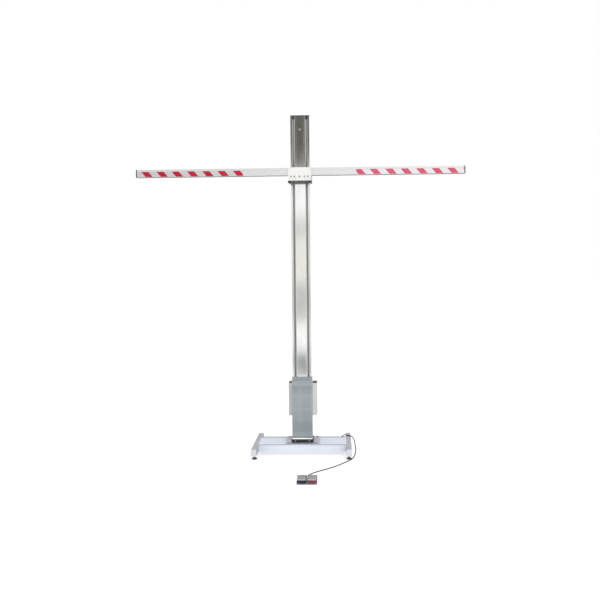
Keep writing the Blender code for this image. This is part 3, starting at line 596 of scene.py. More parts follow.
def make_feet():
    """Levelling feet: a ribbed pad, a threaded stem and a lock nut."""
    leg_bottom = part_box("leg_left")[0].z
    for corner in CORNERS:
        node = f"foot_{corner}"
        low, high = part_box(node)
        centre = middle(node).xy
        radius = (high.x - low.x) / 2
        ribbed = toothed(radius, radius - 0.0012, 24)
        levels = [
            (radius - 0.003, 0.0), (radius - 0.0015, 0.0012), (ribbed, 0.0030), (ribbed, 0.0070),
            (radius - 0.005, 0.0098), (0.0120, 0.0118), (0.0098, 0.0160), (0.0082, 0.0188),
        ]
        pad = turned("Z", centre, levels, len(ribbed))
        piece(f"levelling_pad_{corner}", pad, "black_plastic", node, body=node, finish="foot_rubber")
        stem = threaded("Z", centre, 0.006, 0.018, high.z - 0.001)
        nut = hex_head("Z", centre, leg_bottom - 0.0095, 1, 0.019, 0.0092)
        piece(f"levelling_screw_{corner}", joined(stem, nut), "steel", body=node)


def end_plug(name, axis, node, slot, body="stand", margin=0.0055, radius=0.004):
    """A moulded plug in the end of a tube: a crowned rim, a sunken panel and a gate mark."""
    low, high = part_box(node)
    along = "XYZ".index(axis)
    across = [index for index in range(3) if index != along]
    centre = [middle(node)[index] for index in across]
    width, height = (high[index] - low[index] for index in across)
    outward = 1 if middle(node)[along] > (STAND_Y if axis == "Y" else 0.0) else -1
    face = high[along] if outward > 0 else low[along]
    levels = [
        (0.0120, -0.0155, 0.002), (0.0080, -0.0055, 0.002), (0.0060, -0.0035, 0.003),
        (0.0004, -0.0034), (0.0, -0.0027), (0.0, -0.0014), (0.0012, -0.0005), (0.0036, 0.0),
        (2 * margin - 0.0020, -0.0001, radius * 0.7), (2 * margin, -0.00072, radius * 0.6),
        (2 * margin + 0.0016, -0.0012, radius * 0.5),
    ]
    plug = slab(axis, centre, width, height, radius, levels, face, outward)
    mark = rod(axis, centre, 0.0016, face - outward * 0.00132, face - outward * 0.0006, 16)
    piece(name, joined(plug, mark), slot, node, body=body)


def make_leg_plugs():
    for corner in CORNERS:
        end_plug(f"leg_plug_{corner}", "Y", f"leg_cap_{corner}", "grey_plastic")


def weld_bead(name, start, end, radius, slot):
    """A row of overlapping ripples, as an electric weld leaves."""
    line = Vector(end) - Vector(start)
    along = max(range(3), key=lambda index: abs(line[index]))
    steps = 4 * max(4, int(line.length / 0.0022))
    levels = []
    for step in range(steps + 1):
        share = step / steps
        swell = 0.86 + 0.14 * abs(math.sin(math.pi * step / 4))
        wander = 1.0 + 0.07 * math.sin(share * 41.0) + 0.05 * math.sin(share * 97.0 + 1.0)
        taper = min(1.0, 0.35 + 18 * min(share, 1 - share))
        levels.append((radius * swell * wander * taper, start[along] + line[along] * share))
    centre = [start[index] for index in range(3) if index != along]
    piece(name, turned("XYZ"[along], centre, levels, 12), slot)


def make_beam():
    """A folded channel, open below, with a crease and a rubber bead along each edge of its top."""
    low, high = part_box("base_beam")
    bend, crease = 0.0025, 0.0022
    half = (high.y - low.y) / 2
    right = [
        (half - BEAM_WALL, low.z), (half, low.z), (half, high.z - 0.0100),
        (half - crease, high.z - 0.0085), (half, high.z - 0.0070),
        *arc((half - bend, high.z - bend), bend, 0, 90), (half - 0.0085, high.z),
        (half - 0.0100, high.z - crease), (half - 0.0115, high.z),
    ]
    inside = [(half - BEAM_WALL, high.z - BEAM_WALL)]
    outline = [*right, *mirrored(right), *mirrored(inside), *inside]
    shape = prism("X", outline, low.x, high.x, (low.y + half, 0.0))
    piece("channel_beam", shape, "beam_paint", "base_beam")
    for name, y, rise in (("front", low.y + 0.0032, 0.0010), ("back", high.y - 0.0032, 0.0028)):
        foot = high.z + 0.0001
        crown = arc((y, high.z + rise), 0.0014, 0, 180, 5)
        bead = [(y - 0.0020, foot), (y + 0.0020, foot), *crown]
        piece(f"beam_bead_{name}", prism("X", bead, low.x + 0.001, high.x - 0.001), "bumper_rubber")


def make_welds():
    """Where the beam's end plates meet the legs, and where the mast's socket meets its plate."""
    low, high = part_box("base_beam")
    edge, top = 0.012, high.z - 0.0012
    front, back = low.y + 0.001, high.y - 0.001
    for side, x in (("left", low.x), ("right", high.x)):
        for name, start, end in (
            ("top", (x, low.y + edge, top), (x, high.y - edge, top)),
            ("front", (x, front, low.z + edge), (x, front, high.z - edge / 2)),
            ("back", (x, back, low.z + edge), (x, back, high.z - edge / 2)),
        ):
            weld_bead(f"weld_{side}_{name}", start, end, 0.0032, "beam_paint")
    low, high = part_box("mast_socket")
    seat = low.z + 0.0002
    for name, start, end in (
        ("weld_socket_back", low.x + 0.02, -0.035),
        ("weld_socket_back_2", 0.035, high.x - 0.02),
    ):
        weld_bead(name, (start, high.y, seat), (end, high.y, seat), 0.0026, "black_paint")


def make_base_bolts():
    plate_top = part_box("base_plate")[1].z
    beam_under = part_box("base_beam")[1].z - BEAM_WALL
    for number in range(1, 5):
        node = f"base_bolt_{number}"
        centre = middle(node).xy
        bolt = joined(
            hex_head("Z", centre, plate_top + 0.0021, 1, 0.017, 0.0068),
            washer("Z", centre, plate_top + GAP, 1, 0.012, 0.0020),
            threaded("Z", centre, 0.0049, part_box(node)[0].z, plate_top + 0.001),
            hex_head("Z", centre, beam_under - GAP, -1, 0.017, 0.0080),
        )
        piece(f"anchor_bolt_{number}", bolt, "steel", node)


def make_socket_screws():
    """Set screws that clamp the foot of the mast, in the front and the sides of its socket."""
    low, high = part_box("mast_socket")
    level = low.z + 0.013
    heads = []
    for x in (-0.063, 0.063):
        heads.append(socket_head("Y", (x, level), low.y + 0.0004, -1, 0.0050, 0.0030))
    for x, away in ((low.x + 0.0004, -1), (high.x - 0.0004, 1)):
        for y in (STAND_Y - 0.035, STAND_Y + 0.030):
            heads.append(socket_head("X", (y, level), x, away, 0.0050, 0.0030))
    piece("socket_set_screws", joined(*heads), "steel")


# ---- Mast ----


def make_mast():
    """The extruded wall: lips, round corners, two fine grooves in each side and four in the back."""
    low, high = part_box("mast_profile")
    half, front, back = (high.x - low.x) / 2, low.y, high.y
    wall, corner, lip, groove, chamfer = MAST_WALL, 0.0045, 0.012, 0.0011, 0.0008
    slot = half - MAST_FLANGE
    outside = [(slot + chamfer, front), *arc((half - corner, front + corner), corner, -90, 0)]
    for y in (front + 0.030, back - 0.030):
        outside += [(half, y - groove), (half - groove * 0.8, y), (half, y + groove)]
    outside += arc((half - corner, back - corner), corner, 0, 90)
    for x in (0.052, 0.018):
        outside += [(x + groove, back), (x, back - groove * 0.8), (x - groove, back)]
    inside = [
        *arc((half - corner, back - corner), corner - wall, 90, 0),
        *arc((half - corner, front + corner), corner - wall, 0, -90), (slot + wall, front + wall),
        (slot + wall, front + lip - chamfer), (slot + wall - chamfer, front + lip),
        (slot + chamfer, front + lip), (slot, front + lip - chamfer), (slot, front + chamfer),
    ]
    outline = [*outside, *mirrored(outside), *mirrored(inside), *inside]
    piece("mast_extrusion", prism("Z", outline, low.z, high.z), "mast_metal", "mast_profile")


def make_front_strip():
    """The channel between the slots: broad round edges and a shallow panel down its middle."""
    low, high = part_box("mast_front_strip")
    half, front, back = high.x, low.y, high.y
    bend, panel, step = 0.0032, 0.034, 0.0005
    centre = (half - bend, front + bend)
    outer = [(panel - 0.0006, front + step), (panel, front)]
    outer += [*arc(centre, bend, -90, 0, 8), (half, back)]
    inner = [(half - MAST_WALL, back), *arc(centre, bend - MAST_WALL, 0, -90, 8)]
    outline = [(0.0, front + step), *outer, *inner]
    outline += [(0.0, front + MAST_WALL), *mirrored(inner), *mirrored(outer)]
    piece("mast_strip", prism("Z", outline, low.z, high.z), "strip_metal", "mast_front_strip")


def make_slot_seals():
    """Brush strips along both sides of each slot. The carriage's arms pass between them."""
    low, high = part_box("mast_front_strip")
    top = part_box("mast_top_cap")[0].z - GAP
    slot_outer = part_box("mast_profile")[1].x - MAST_FLANGE - GAP
    section = ((0.0, 0.0035), (0.7, 0.0030), (1.0, 0.0040), (0.7, 0.0058), (0.0, 0.0060))
    for side, sign in SIDES:
        for rim, edge, reach in (("inner", high.x + GAP, 0.0080), ("outer", slot_outer, -0.0080)):
            outline = [(sign * (edge + reach * share), low.y + y) for share, y in section]
            shape = prism("Z", outline, low.z + 0.002, top)
            piece(f"slot_brush_{side}_{rim}", shape, "grey_plastic", finish="brush_grey")


def make_roller_tracks():
    """Pale plastic strips on the inside of the mast's back wall, where the trolley runs."""
    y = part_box("mast_profile")[1].y - MAST_WALL - GAP - 0.0016
    for side, sign in SIDES:
        track = prism("Z", rounded(0.024, 0.0030, 0.0006, 2), 0.72, 3.07, (sign * 0.0615, y))
        piece(f"roller_track_{side}", track, "roller_plastic")


def make_top_cap():
    """A crowned lid with four screws, and a lug that closes the top of each slot."""
    low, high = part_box("mast_top_cap")
    width, depth = high.x - low.x, high.y - low.y
    centre = (0.0, (low.y + high.y) / 2)
    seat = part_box("mast_profile")[1].z + GAP
    levels = [
        (0.0010, seat), (0.0, seat + 0.0008), (0.0, high.z - 0.0030), (0.0012, high.z - 0.0015),
        (0.0050, high.z - 0.0004), (0.0200, high.z, 0.005),
    ]
    shapes = [slab("Z", centre, width, depth, 0.010, levels)]
    inner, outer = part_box("mast_front_strip")[1].x + GAP, width / 2 - MAST_FLANGE - GAP
    lug = rounded(outer - inner, 0.0115, 0.002)
    tip = rounded(outer - inner - 0.003, 0.009, 0.002)
    for side in (-1, 1):
        spot = (side * (inner + outer) / 2, low.y + 0.00625)
        levels = [(tip, low.z + 0.0002), (lug, low.z + 0.002), (lug, seat + 0.002)]
        shapes.append(loft("Z", levels, spot))
    piece("mast_lid", joined(*shapes), "black_plastic", "mast_top_cap")
    screws = []
    for x in (-0.074, 0.074):
        for y in (centre[1] - 0.034, centre[1] + 0.034):
            screws.append(pan_screw("Z", (x, y), high.z - 0.0006, 1, 0.0036))
    piece("lid_screws", joined(*screws), "steel")


# ---- Belt drive ----


def make_pulleys():
    """Toothed wheels between two flanges. The driven one has a hub and a stub of its shaft."""
    for node, body in (("idler_pulley", "idler_wheel"), ("drive_pulley", "drive_wheel")):
        low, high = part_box(node)
        centre = (0.0, middle(node).z)
        flange, width = (high.x - low.x) / 2, 0.024
        rim = toothed(0.0352, 0.0338, 28)
        levels = [
            (0.016, 0.0), (flange - 0.0006, 0.0), (flange, 0.0005), (flange, 0.0015),
            (rim, 0.0016), (rim, width - 0.0016), (flange, width - 0.0015),
            (flange, width - 0.0005), (flange - 0.0006, width), (0.014, width),
        ]
        shapes = [turned("Y", centre, levels, len(rim), low.y)]
        if body == "drive_wheel":
            shapes.append(rod("Y", centre, 0.007, low.y + width - 0.002, high.y))
            shapes.append(washer("Y", centre, low.y + width, 1, 0.013, 0.006))
        piece(f"toothed_{node}", joined(*shapes), "steel", node, body=body)


def make_belt():
    """The belt's loop with its moulded teeth on the inside."""
    low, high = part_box("drive_belt")
    radius = (high.x - low.x) / 2
    straight = high.z - low.z - 2 * radius
    total = 2 * (straight + math.pi * radius)
    steps = 4 * round(total / BELT_PITCH)
    rings = []
    for step in range(steps):
        place, inward = racetrack_point(total * step / steps, radius, straight)
        place.y += (low.z + high.z) / 2
        inner = place + inward * (0.0030 if step % 4 < 2 else 0.0019)
        ring = [(place.x, low.y, place.y), (place.x, high.y, place.y)]
        ring += [(inner.x, high.y, inner.y), (inner.x, low.y, inner.y)]
        rings.append(ring)
    piece("toothed_belt", skin(rings, looped=True), "belt_rubber", "drive_belt")


def racetrack_point(travelled, radius, straight):
    """A point on the loop about its middle, as (x, z), and the way to its inside."""
    half_way = straight + math.pi * radius
    if travelled >= half_way:
        place, inward = racetrack_point(travelled - half_way, radius, straight)
        return -place, -inward
    if travelled < straight:
        return Vector((radius, travelled - straight / 2)), Vector((-1, 0))
    away = Vector(polar(1.0, (travelled - straight) / radius))
    return Vector((0, straight / 2)) + away * radius, -away


def make_idler_axle():
    centre = (0.0, middle("idler_axle").z)
    front, back = (corner.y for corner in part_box("mast_profile"))
    shapes = [rod("Y", centre, 0.006, front - 0.002, back + 0.008)]
    for face, away in ((front, -1), (back, 1)):
        shapes.append(hex_head("Y", centre, face + away * 0.0016, away, 0.018, 0.0055))
        shapes.append(washer("Y", centre, face + away * GAP, away, 0.0125, 0.0014))
    piece("idler_bolt", joined(*shapes), "steel", "idler_axle")


def make_gear_motor():
    """Ribbed gearbox housing and a finned motor with its end bell, inside the control box."""
    low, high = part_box("gear_motor")
    width, depth = high.x - low.x, high.y - low.y
    centre = (0.0, (low.y + high.y) / 2)
    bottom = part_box("drive_pulley")[0].z - 0.008
    top = bottom + 0.100
    levels = [(0.006, bottom, 0.006), (0.0, bottom + 0.003), (0.0, top - 0.003), (0.006, top, 0.006)]
    shapes = [slab("Z", centre, width, depth, 0.008, levels)]
    rib = rounded(width + 0.0010, depth - 0.012, 0.006)
    for step in range(5):
        z = bottom + 0.014 + step * 0.018
        shapes.append(prism("Z", rib, z, z + 0.003, centre))
    fins = toothed(0.0400, 0.0362, 30)
    levels = [
        (0.038, top - 0.008), (0.038, top + 0.006), (fins, top + 0.007), (fins, high.z - 0.028),
        (0.038, high.z - 0.027), (0.038, high.z - 0.010), (0.034, high.z - 0.003),
        (0.028, high.z),
    ]
    shapes.append(turned("Z", (0.0, low.y + 0.046), levels, len(fins)))
    piece("gear_motor_unit", joined(*shapes), "motor_paint", "gear_motor")


# ---- Cover and control box ----


def folded(half, front, back, bend):
    """One face of the cover's sheet, in plan: a U, open to the back."""
    right = [(half, back), *arc((half - bend, front + bend), bend, 0, -90)]
    return [*right, *mirrored(right)]


def cover_section(half, front, back, wall):
    """Plan of the folded sheet at one level."""
    inside = folded(half - wall, front + wall, back, max(COVER_BEND - wall, 0.0004))
    return [*folded(half, front, back, COVER_BEND), *reversed(inside)]


def make_front_cover():
    """Folded sheet with round bends, a rolled hem under a bright trim, and a shoulder."""
    low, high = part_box("front_cover")
    half = (high.x - low.x) / 2
    mast_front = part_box("mast_profile")[0].y
    hem_front, front = low.y, low.y + 0.004
    hem, shoulder = low.z + 0.020, high.z - 0.029
    sections = []
    for z, y in (
        (low.z, hem_front + 0.0008), (low.z + 0.0010, hem_front), (hem - 0.006, hem_front),
        (hem - 0.003, hem_front + 0.0010), (hem, front - 0.0006), (hem + 0.003, front),
        (shoulder - 0.004, front), (shoulder, front + 0.0016), (shoulder + 0.004, front + 0.0058),
        (high.z, mast_front - 0.0012),
    ):
        wall = min(0.0018, mast_front - 0.0002 - y)
        sections.append((cover_section(half, y, high.y, wall), z))
    piece("folded_cover", loft("Z", sections), "cover_metal", "front_cover")
    rim = cover_section(half - 0.0001, hem_front - 0.0002, high.y, 0.0015)
    crown = cover_section(half + 0.0004, hem_front - 0.0010, high.y, 0.0015)
    start, end = low.z + 0.0012, hem - 0.0062
    trim = [(rim, start), (crown, start + 0.0016), (crown, end - 0.0016), (rim, end)]
    piece("cover_trim", loft("Z", trim), "strip_metal")
    screws = []
    for side in (-1, 1):
        for z in (low.z + 0.06, (low.z + high.z) / 2, high.z - 0.06):
            screws.append(pan_screw("X", (high.y - 0.012, z), side * (half - 0.0004), side, 0.0038))
    piece("cover_screws", joined(*screws), "steel")


def make_box_details():
    """A dark rain lid over the control box, screws down its sides, and louvres in its door."""
    low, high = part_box("control_box")
    width, depth = high.x - low.x + 0.0010, high.y - low.y - 0.0002
    levels = [(0.0004, 0.0001), (0.0, 0.0006), (0.0004, 0.0016)]
    lid = slab("Z", (0.0, (low.y + high.y) / 2), width, depth, 0.002, levels, high.z)
    piece("box_rain_lid", lid, "black_plastic")
    screws = []
    for side, x in ((-1, low.x), (1, high.x)):
        for z in (low.z + 0.03, (low.z + high.z) / 2, high.z - 0.03):
            screws.append(pan_screw("X", (low.y + 0.012, z), x - side * 0.0003, side, 0.0030))
    piece("box_screws", joined(*screws), "steel")
    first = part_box("control_box_door")[0].z + 0.185
    louvres = []
    for x in (-0.058, 0.012):
        for row in range(6):
            louvres.append(louvre(x, high.y + 0.0022, first + row * 0.016))
    piece("door_louvres", joined(*louvres), "box_paint", body="door")


def louvre(x, face, z):
    """A pressed hood: it swells from the sheet and is cut square along its lower edge."""
    width, height, depth, steps = 0.046, 0.008, 0.0035, 12
    section = ((0.0, 0.0), (0.0, 1.0), (0.25, 0.92), (0.55, 0.62), (1.0, 0.0))
    rings = []
    for step in range(steps + 1):
        across = x + width * (step / steps - 0.5)
        swell = depth * math.sin(math.pi * step / steps) ** 0.5
        rings.append([(across, face + swell * out, z + height * rise) for rise, out in section])
    shape = skin(rings)
    bmesh.ops.remove_doubles(shape, verts=shape.verts, dist=0.00001)
    bmesh.ops.recalc_face_normals(shape, faces=shape.faces)
    return shape


def make_lock():
    """A quarter-turn lock with a key slot, and its cam inside the door."""
    low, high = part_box("door_lock")
    x, z = 0.110, middle("control_box").z
    levels = [
        (0.0058, low.y), (0.0058, high.y - 0.0048), (0.0108, high.y - 0.0047),
        (0.0108, high.y - 0.0022), (0.0096, high.y - 0.0006), (0.0085, high.y),
        (0.0052, high.y - 0.0001), (rounded(0.0016, 0.0072, 0.0004), high.y - 0.0002),
        (rounded(0.0012, 0.0066, 0.0004), high.y - 0.0030),
    ]
    barrel = turned("Y", (x, z), levels, 28)
    start, end = STAND_Y + 0.151, STAND_Y + 0.154
    cam = prism("Y", rounded(0.012, 0.022, 0.003), start, end, (x, z - 0.007))
    piece("key_lock", joined(barrel, cam), "steel", "door_lock", body="lock")


def ribbed_gland(axis, centre, seat, away, radius, long, tail):
    """A cable gland: a hexagon nut, a ribbed dome and a tapered tail."""
    ribs = toothed(radius * 0.86, radius * 0.78, 12)
    levels = [
        (radius * 0.7, 0.0), (ribs, long * 0.26), (ribs, long * 0.56),
        (radius * 0.74, long * 0.64), (tail + 0.0014, long * 0.80), (tail + 0.0006, long),
    ]
    dome = turned(axis, centre, levels, len(ribs), seat, away)
    return joined(hex_head(axis, centre, seat, away, radius * 1.9, long * 0.24), dome)


def make_glands():
    """The pedal lead's gland on the beam, and the mains inlet under the control box."""
    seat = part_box("base_beam")[1].y + GAP
    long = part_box("cable_gland")[1].y - seat
    gland = ribbed_gland("Y", middle("cable_gland").xz, seat, 1, 0.0105, long, 0.0040)
    collar = piece("beam_gland", gland, "black_plastic", "cable_gland")
    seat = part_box("control_box")[0].z - GAP
    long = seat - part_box("mains_inlet")[0].z
    inlet = ribbed_gland("Z", middle("mains_inlet").xy, seat, -1, 0.0130, long, 0.0050)
    piece("supply_gland", inlet, "black_plastic", "mains_inlet")
    return collar


# ---- Carriage and boom ----


def make_rollers():
    """Nylon rollers with a crowned tread, a hub recess and a bearing ring in each face."""
    for place in ("left_lower", "left_upper", "right_lower", "right_upper"):
        node = f"roller_{place}"
        low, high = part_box(node)
        radius, width = (high.x - low.x) / 2, high.y - low.y
        half = [
            (0.0054, 0.0010), (0.0080, 0.0010), (0.0084, 0.0002), (radius - 0.0016, 0.0),
            (radius - 0.0004, 0.0012), (radius - 0.0001, width * 0.3),
        ]
        levels = half + [(reach, width - depth) for reach, depth in reversed(half)]
        roller = turned("Y", middle(node).xz, levels, 48, low.y)
        piece(f"guide_{node}", roller, "roller_plastic", node, body=node)


def make_clamp_plate():
    """The plate that clamps the boom: rounded, with a row of socket bolts and smaller screws."""
    low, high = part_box("clamp_plate")
    levels = [
        (0.001, high.y), (0.0, high.y - 0.0006), (0.0, low.y + 0.0012), (0.0008, low.y + 0.0004),
        (0.0024, low.y),
    ]
    centre = (0.0, middle("clamp_plate").z)
    plate = slab("Y", centre, high.x - low.x, high.z - low.z, 0.004, levels)
    piece("boom_clamp", plate, "carriage_metal", "clamp_plate", body="carriage")
    for number in range(1, 6):
        node = f"clamp_bolt_{number}"
        centre = middle(node).xz
        bolt = joined(
            washer("Y", centre, low.y - GAP / 2, -1, 0.0085, 0.0010),
            socket_head("Y", centre, low.y - GAP, -1, 0.0068, 0.0052),
            threaded("Y", centre, 0.0039, low.y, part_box(node)[1].y),
        )
        piece(f"clamp_screw_{number}", bolt, "steel", node, body="carriage")
    screws = []
    for x, rise in ((-0.059, 0.015), (-0.035, 0.015), (0.059, 0.015), (0.083, 0.017)):
        screws.append(pan_screw("Y", (x, low.z + rise), low.y + 0.0003, -1, 0.0038))
    for x in (-0.096, 0.096):
        for z in (low.z + 0.011, high.z - 0.010):
            screws.append(pan_screw("Y", (x, z), low.y + 0.0003, -1, 0.0030))
    piece("clamp_trim_screws", joined(*screws), "steel", body="carriage")


def make_cheek_screws():
    """Socket screws in the carriage's cheeks."""
    low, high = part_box("carriage_frame")
    heads = []
    for side, x in ((-1, low.x), (1, high.x)):
        for y in (STAND_Y - 0.060, STAND_Y):
            for z in (low.z + 0.018, low.z + 0.075):
                heads.append(socket_head("X", (y, z), x - side * 0.0004, side, 0.0050, 0.0026))
    piece("cheek_screws", joined(*heads), "steel", body="carriage")


def bar_outline(low, high):
    """The boom's section: round edges, and two fine grooves in its front and its back."""
    bend, groove = 0.0028, 0.0008
    lines = (high.z - 0.0175, low.z + 0.0015 + bend)
    front, back, bottom, top = low.y + bend, high.y - bend, low.z + bend, high.z - bend
    outline = [*arc((back, top), bend, 0, 90), *arc((front, top), bend, 90, 180)]
    for z in lines:
        outline += [(low.y, z + groove), (low.y + groove, z), (low.y, z - groove)]
    outline += [*arc((front, bottom), bend, 180, 270), *arc((back, bottom), bend, 270, 360)]
    for z in reversed(lines):
        outline += [(high.y, z - groove), (high.y - groove, z), (high.y, z + groove)]
    return outline


def make_bar():
    """The boom's tube. Each end has a plug with a thin skirt, and each arm a rubber edge below."""
    low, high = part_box("cross_bar")
    tube = prism("X", bar_outline(low, high), low.x, high.x)
    piece("boom_tube", tube, "bar_metal", "cross_bar", body="carriage")
    width, height = high.y - low.y, high.z - low.z
    centre = ((low.y + high.y) / 2, (low.z + high.z) / 2)
    outer = rounded(width + 0.0010, height + 0.0010, 0.0033)
    inner = rounded(width + 0.0001, height + 0.0001, 0.0028)
    edge = rounded(0.034, 0.0007, 0.0003, 2)
    for side, sign in SIDES:
        node = f"bar_cap_{side}"
        end_plug(f"boom_plug_{side}", "X", node, "black_plastic", "carriage", 0.0045, 0.003)
        start, end = sign * 1.4906, sign * (high.x + 0.0001)
        sections = [(outer, start), (outer, end), (inner, end), (inner, start)]
        skirt = loft("X", sections, centre, looped=True)
        piece(f"boom_sleeve_{side}", skirt, "black_plastic", body="carriage")
        strip = prism("X", edge, sign * 0.112, sign * 1.4885, (centre[0], low.z - 0.0004))
        piece(f"boom_edge_strip_{side}", strip, "bumper_rubber", body="carriage")


def make_tapes():
    """A strip of film on each arm, with round corners and a rounded edge."""
    for side in ("left", "right"):
        node = f"hazard_tape_{side}"
        low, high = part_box(node)
        levels = [(0.0, high.y), (0.0, low.y + 0.0002), (0.0003, low.y)]
        film = slab("Y", middle(node).xz, high.x - low.x, high.z - low.z, 0.0025, levels)
        name, finish = f"reflective_tape_{side}", f"tape_{side}"
        piece(name, film, "hazard_tape", node, body="carriage", finish=finish)


# ---- Pedal and cable ----


def make_pedal():
    """A steel plate with a black and a red switch on it, each under its own treadle."""
    low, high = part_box("pedal_base")
    centre = middle("pedal_base").xy
    levels = [(0.001, low.z), (0.0, low.z + 0.0006), (0.0, high.z - 0.0010), (0.0016, high.z - 0.0001)]
    plate = slab("Z", centre, high.x - low.x, high.y - low.y, 0.006, levels)
    piece("pedal_plate", plate, "pedal_base", "pedal_base")
    screws = []
    for x in (low.x + 0.016, centre.x, high.x - 0.016):
        screws.append(pan_screw("Z", (x, low.y + 0.013), high.z - 0.0004, 1, 0.0042))
    piece("pedal_screws", joined(*screws), "steel")
    for side, slot in (("left", "pedal_black"), ("right", "pedal_red")):
        make_switch(side, slot)
        make_treadle(side)


def make_switch(side, slot):
    """A moulded switch housing with ribs on its front and two ears."""
    node = f"pedal_housing_{side}"
    low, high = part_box(node)
    axis_y, axis_z = TREADLE_AXIS

    def side_view(inset):
        return [
            (low.y + inset, low.z), (low.y + inset, 0.0215 - inset * 0.3),
            (low.y + 0.0015 + inset, 0.0250 - inset * 0.5),
            (low.y + 0.005 + inset, 0.0266 - inset), (axis_y - 0.010, 0.0280 - inset),
            (axis_y + 0.0035, 0.0280 - inset), (axis_y + 0.0060 - inset, 0.0262 - inset),
            (axis_y + 0.0060 - inset, low.z),
        ]

    rims = ((0.0014, 0.0), (0.0004, 0.0005), (0.0, 0.0014))
    sections = [(side_view(inset), low.x + depth) for inset, depth in rims]
    sections += [(side_view(inset), high.x - depth) for inset, depth in reversed(rims)]
    shapes = [loft("X", sections)]
    ear_view = [
        (axis_y - 0.0072, 0.018), (axis_y - 0.0062, axis_z - 0.002),
        *arc(TREADLE_AXIS, 0.0056, 170, 10, 8), (axis_y + 0.0060, 0.018),
    ]
    for start in (low.x, high.x - EAR):
        shapes.append(prism("X", ear_view, start, start + EAR))
    for rib in range(5):
        x = low.x + (high.x - low.x) * (rib + 1) / 6
        corner = (x - 0.0012, low.y - 0.0008, low.z + 0.002)
        shapes.append(block(corner, (x + 0.0012, low.y + 0.002, 0.0195)))
    piece(f"switch_housing_{side}", joined(*shapes), slot, node, bevel=0.0003)


def make_treadle(side):
    """A bent plate with ribs across it, on a pin between the housing's ears."""
    node = f"treadle_{side}"
    low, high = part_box(node)
    lip, top, hinge = low.y, high.z, TREADLE_AXIS[0] - 0.002
    start, end = low.x + EAR, high.x - EAR
    plate = [
        (hinge, top - 0.003), (hinge, top), (lip + 0.0040, top),
        *arc((lip + 0.0035, top - 0.0035), 0.0035, 90, 180), (lip, top - 0.0110),
        (lip + 0.0028, top - 0.0110), (lip + 0.0028, top - 0.0040), (lip + 0.0036, top - 0.003),
    ]
    shapes = [prism("X", plate, start, end)]
    for rib in range(9):
        bump = arc((lip + 0.010 + rib * 0.0096, top - 0.0004), 0.0013, 0, 180)
        shapes.append(prism("X", bump, start + 0.003, end - 0.003))
    shapes.append(rod("X", TREADLE_AXIS, 0.0045, start, end, 24))
    shapes.append(rod("X", TREADLE_AXIS, 0.0019, low.x, high.x, 20))
    name, body = f"ribbed_treadle_{side}", f"{side}_treadle"
    piece(name, joined(*shapes), "treadle_metal", node, body=body, bevel=0.0002)


def make_strain_relief():
    """The block between the switches with a ribbed, tapered sleeve for the cable."""
    low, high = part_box("pedal_strain_relief")
    x = middle("pedal_strain_relief").x
    back = STAND_Y - 0.8045
    small, full = rounded(0.010, 0.0190, 0.002), rounded(0.011, 0.0205, 0.002)
    deck = loft("Y", [(small, low.y), (full, low.y + 0.001), (full, back + 0.0025)], (x, 0.0156))
    levels = [(0.0080, 0.0), (0.0085, 0.0010), (0.0085, 0.0040)]
    pitch = (high.y - back - 0.0045) / 6
    for rib in range(6):
        radius, start = 0.0066 - 0.0003 * rib, 0.0045 + pitch * rib
        for groove, share in ((0.0007, 0.0), (0.0, 0.25), (0.0, 0.65), (0.0007, 0.9)):
            levels.append((radius - groove, start + pitch * share))
    sleeve = turned("Y", (x, 0.015), levels, 24, back)
    piece("pedal_deck", deck, "grey_plastic")
    piece("pedal_sleeve", sleeve, "black_plastic", "pedal_strain_relief")


def along_curve(route, count):
    """Evenly spaced points of a smooth curve through the points given, and its length."""
    steps = 24
    knots = [2 * route[0] - route[1], *route, 2 * route[-1] - route[-2]]
    fine = []
    for before, start, end, after in zip(knots, knots[1:], knots[2:], knots[3:]):
        bend = 2 * before - 5 * start + 4 * end - after
        twist = 3 * start - before - 3 * end + after
        for step in range(steps):
            t = step / steps
            fine.append((2 * start + (end - before) * t + bend * t**2 + twist * t**3) / 2)
    fine.append(route[-1])
    reached = [0.0]
    for here, there in zip(fine, fine[1:]):
        reached.append(reached[-1] + (there - here).length)
    even = []
    index = 0
    for number in range(count):
        target = reached[-1] * number / (count - 1)
        while index < len(fine) - 2 and reached[index + 1] < target:
            index += 1
        share = (target - reached[index]) / (reached[index + 1] - reached[index])
        even.append(fine[index].lerp(fine[index + 1], share))
    return even, reached[-1]


def make_cable(collar):
    """The lead from the beam's gland, over the right leg and along the floor to the pedal."""
    curve = bpy.data.curves.new("pedal_lead", "CURVE")
    curve.dimensions = "3D"
    curve.bevel_depth = CABLE_DIAMETER / 2
    curve.bevel_resolution = 6
    curve.use_fill_caps = True
    route = [Vector(point) + Vector((0, STAND_Y, 0)) for point in CABLE_ROUTE]
    points, length = along_curve(route, CABLE_POINTS)
    spline = curve.splines.new("POLY")
    spline.points.add(len(points) - 1)
    for knot, point in zip(spline.points, points):
        knot.co = (*point, 1)
    spline.use_smooth = True
    curve.materials.append(finishes["cable_rubber"])
    lead = linked("pedal_lead", curve)
    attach(lead, "stand")
    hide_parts("pedal_cable")


# ---- CAD nodes that stay ----

# Each with the width of its bevelled edges.
KEPT = {
    "base_plate": 0.0,
    "bottom_guard": 0.0012,
    "bumper_left": 0.0,
    "bumper_right": 0.0,
    "carriage_frame": 0.0012,
    "control_box": 0.0,
    "control_box_door": 0.0006,
    "door_hinge_pin": 0.0003,
    "leg_left": 0.0,
    "leg_right": 0.0,
    "mast_socket": 0.0,
    "trolley": 0.0006,
}
# Where a slot's finish is a little different on one node. The carriage frame's darker coat is painted
# shade for its cheeks.
OTHER_FINISH = {"carriage_frame": "shaded_cheek_metal", "bottom_guard": "foot_rubber"}


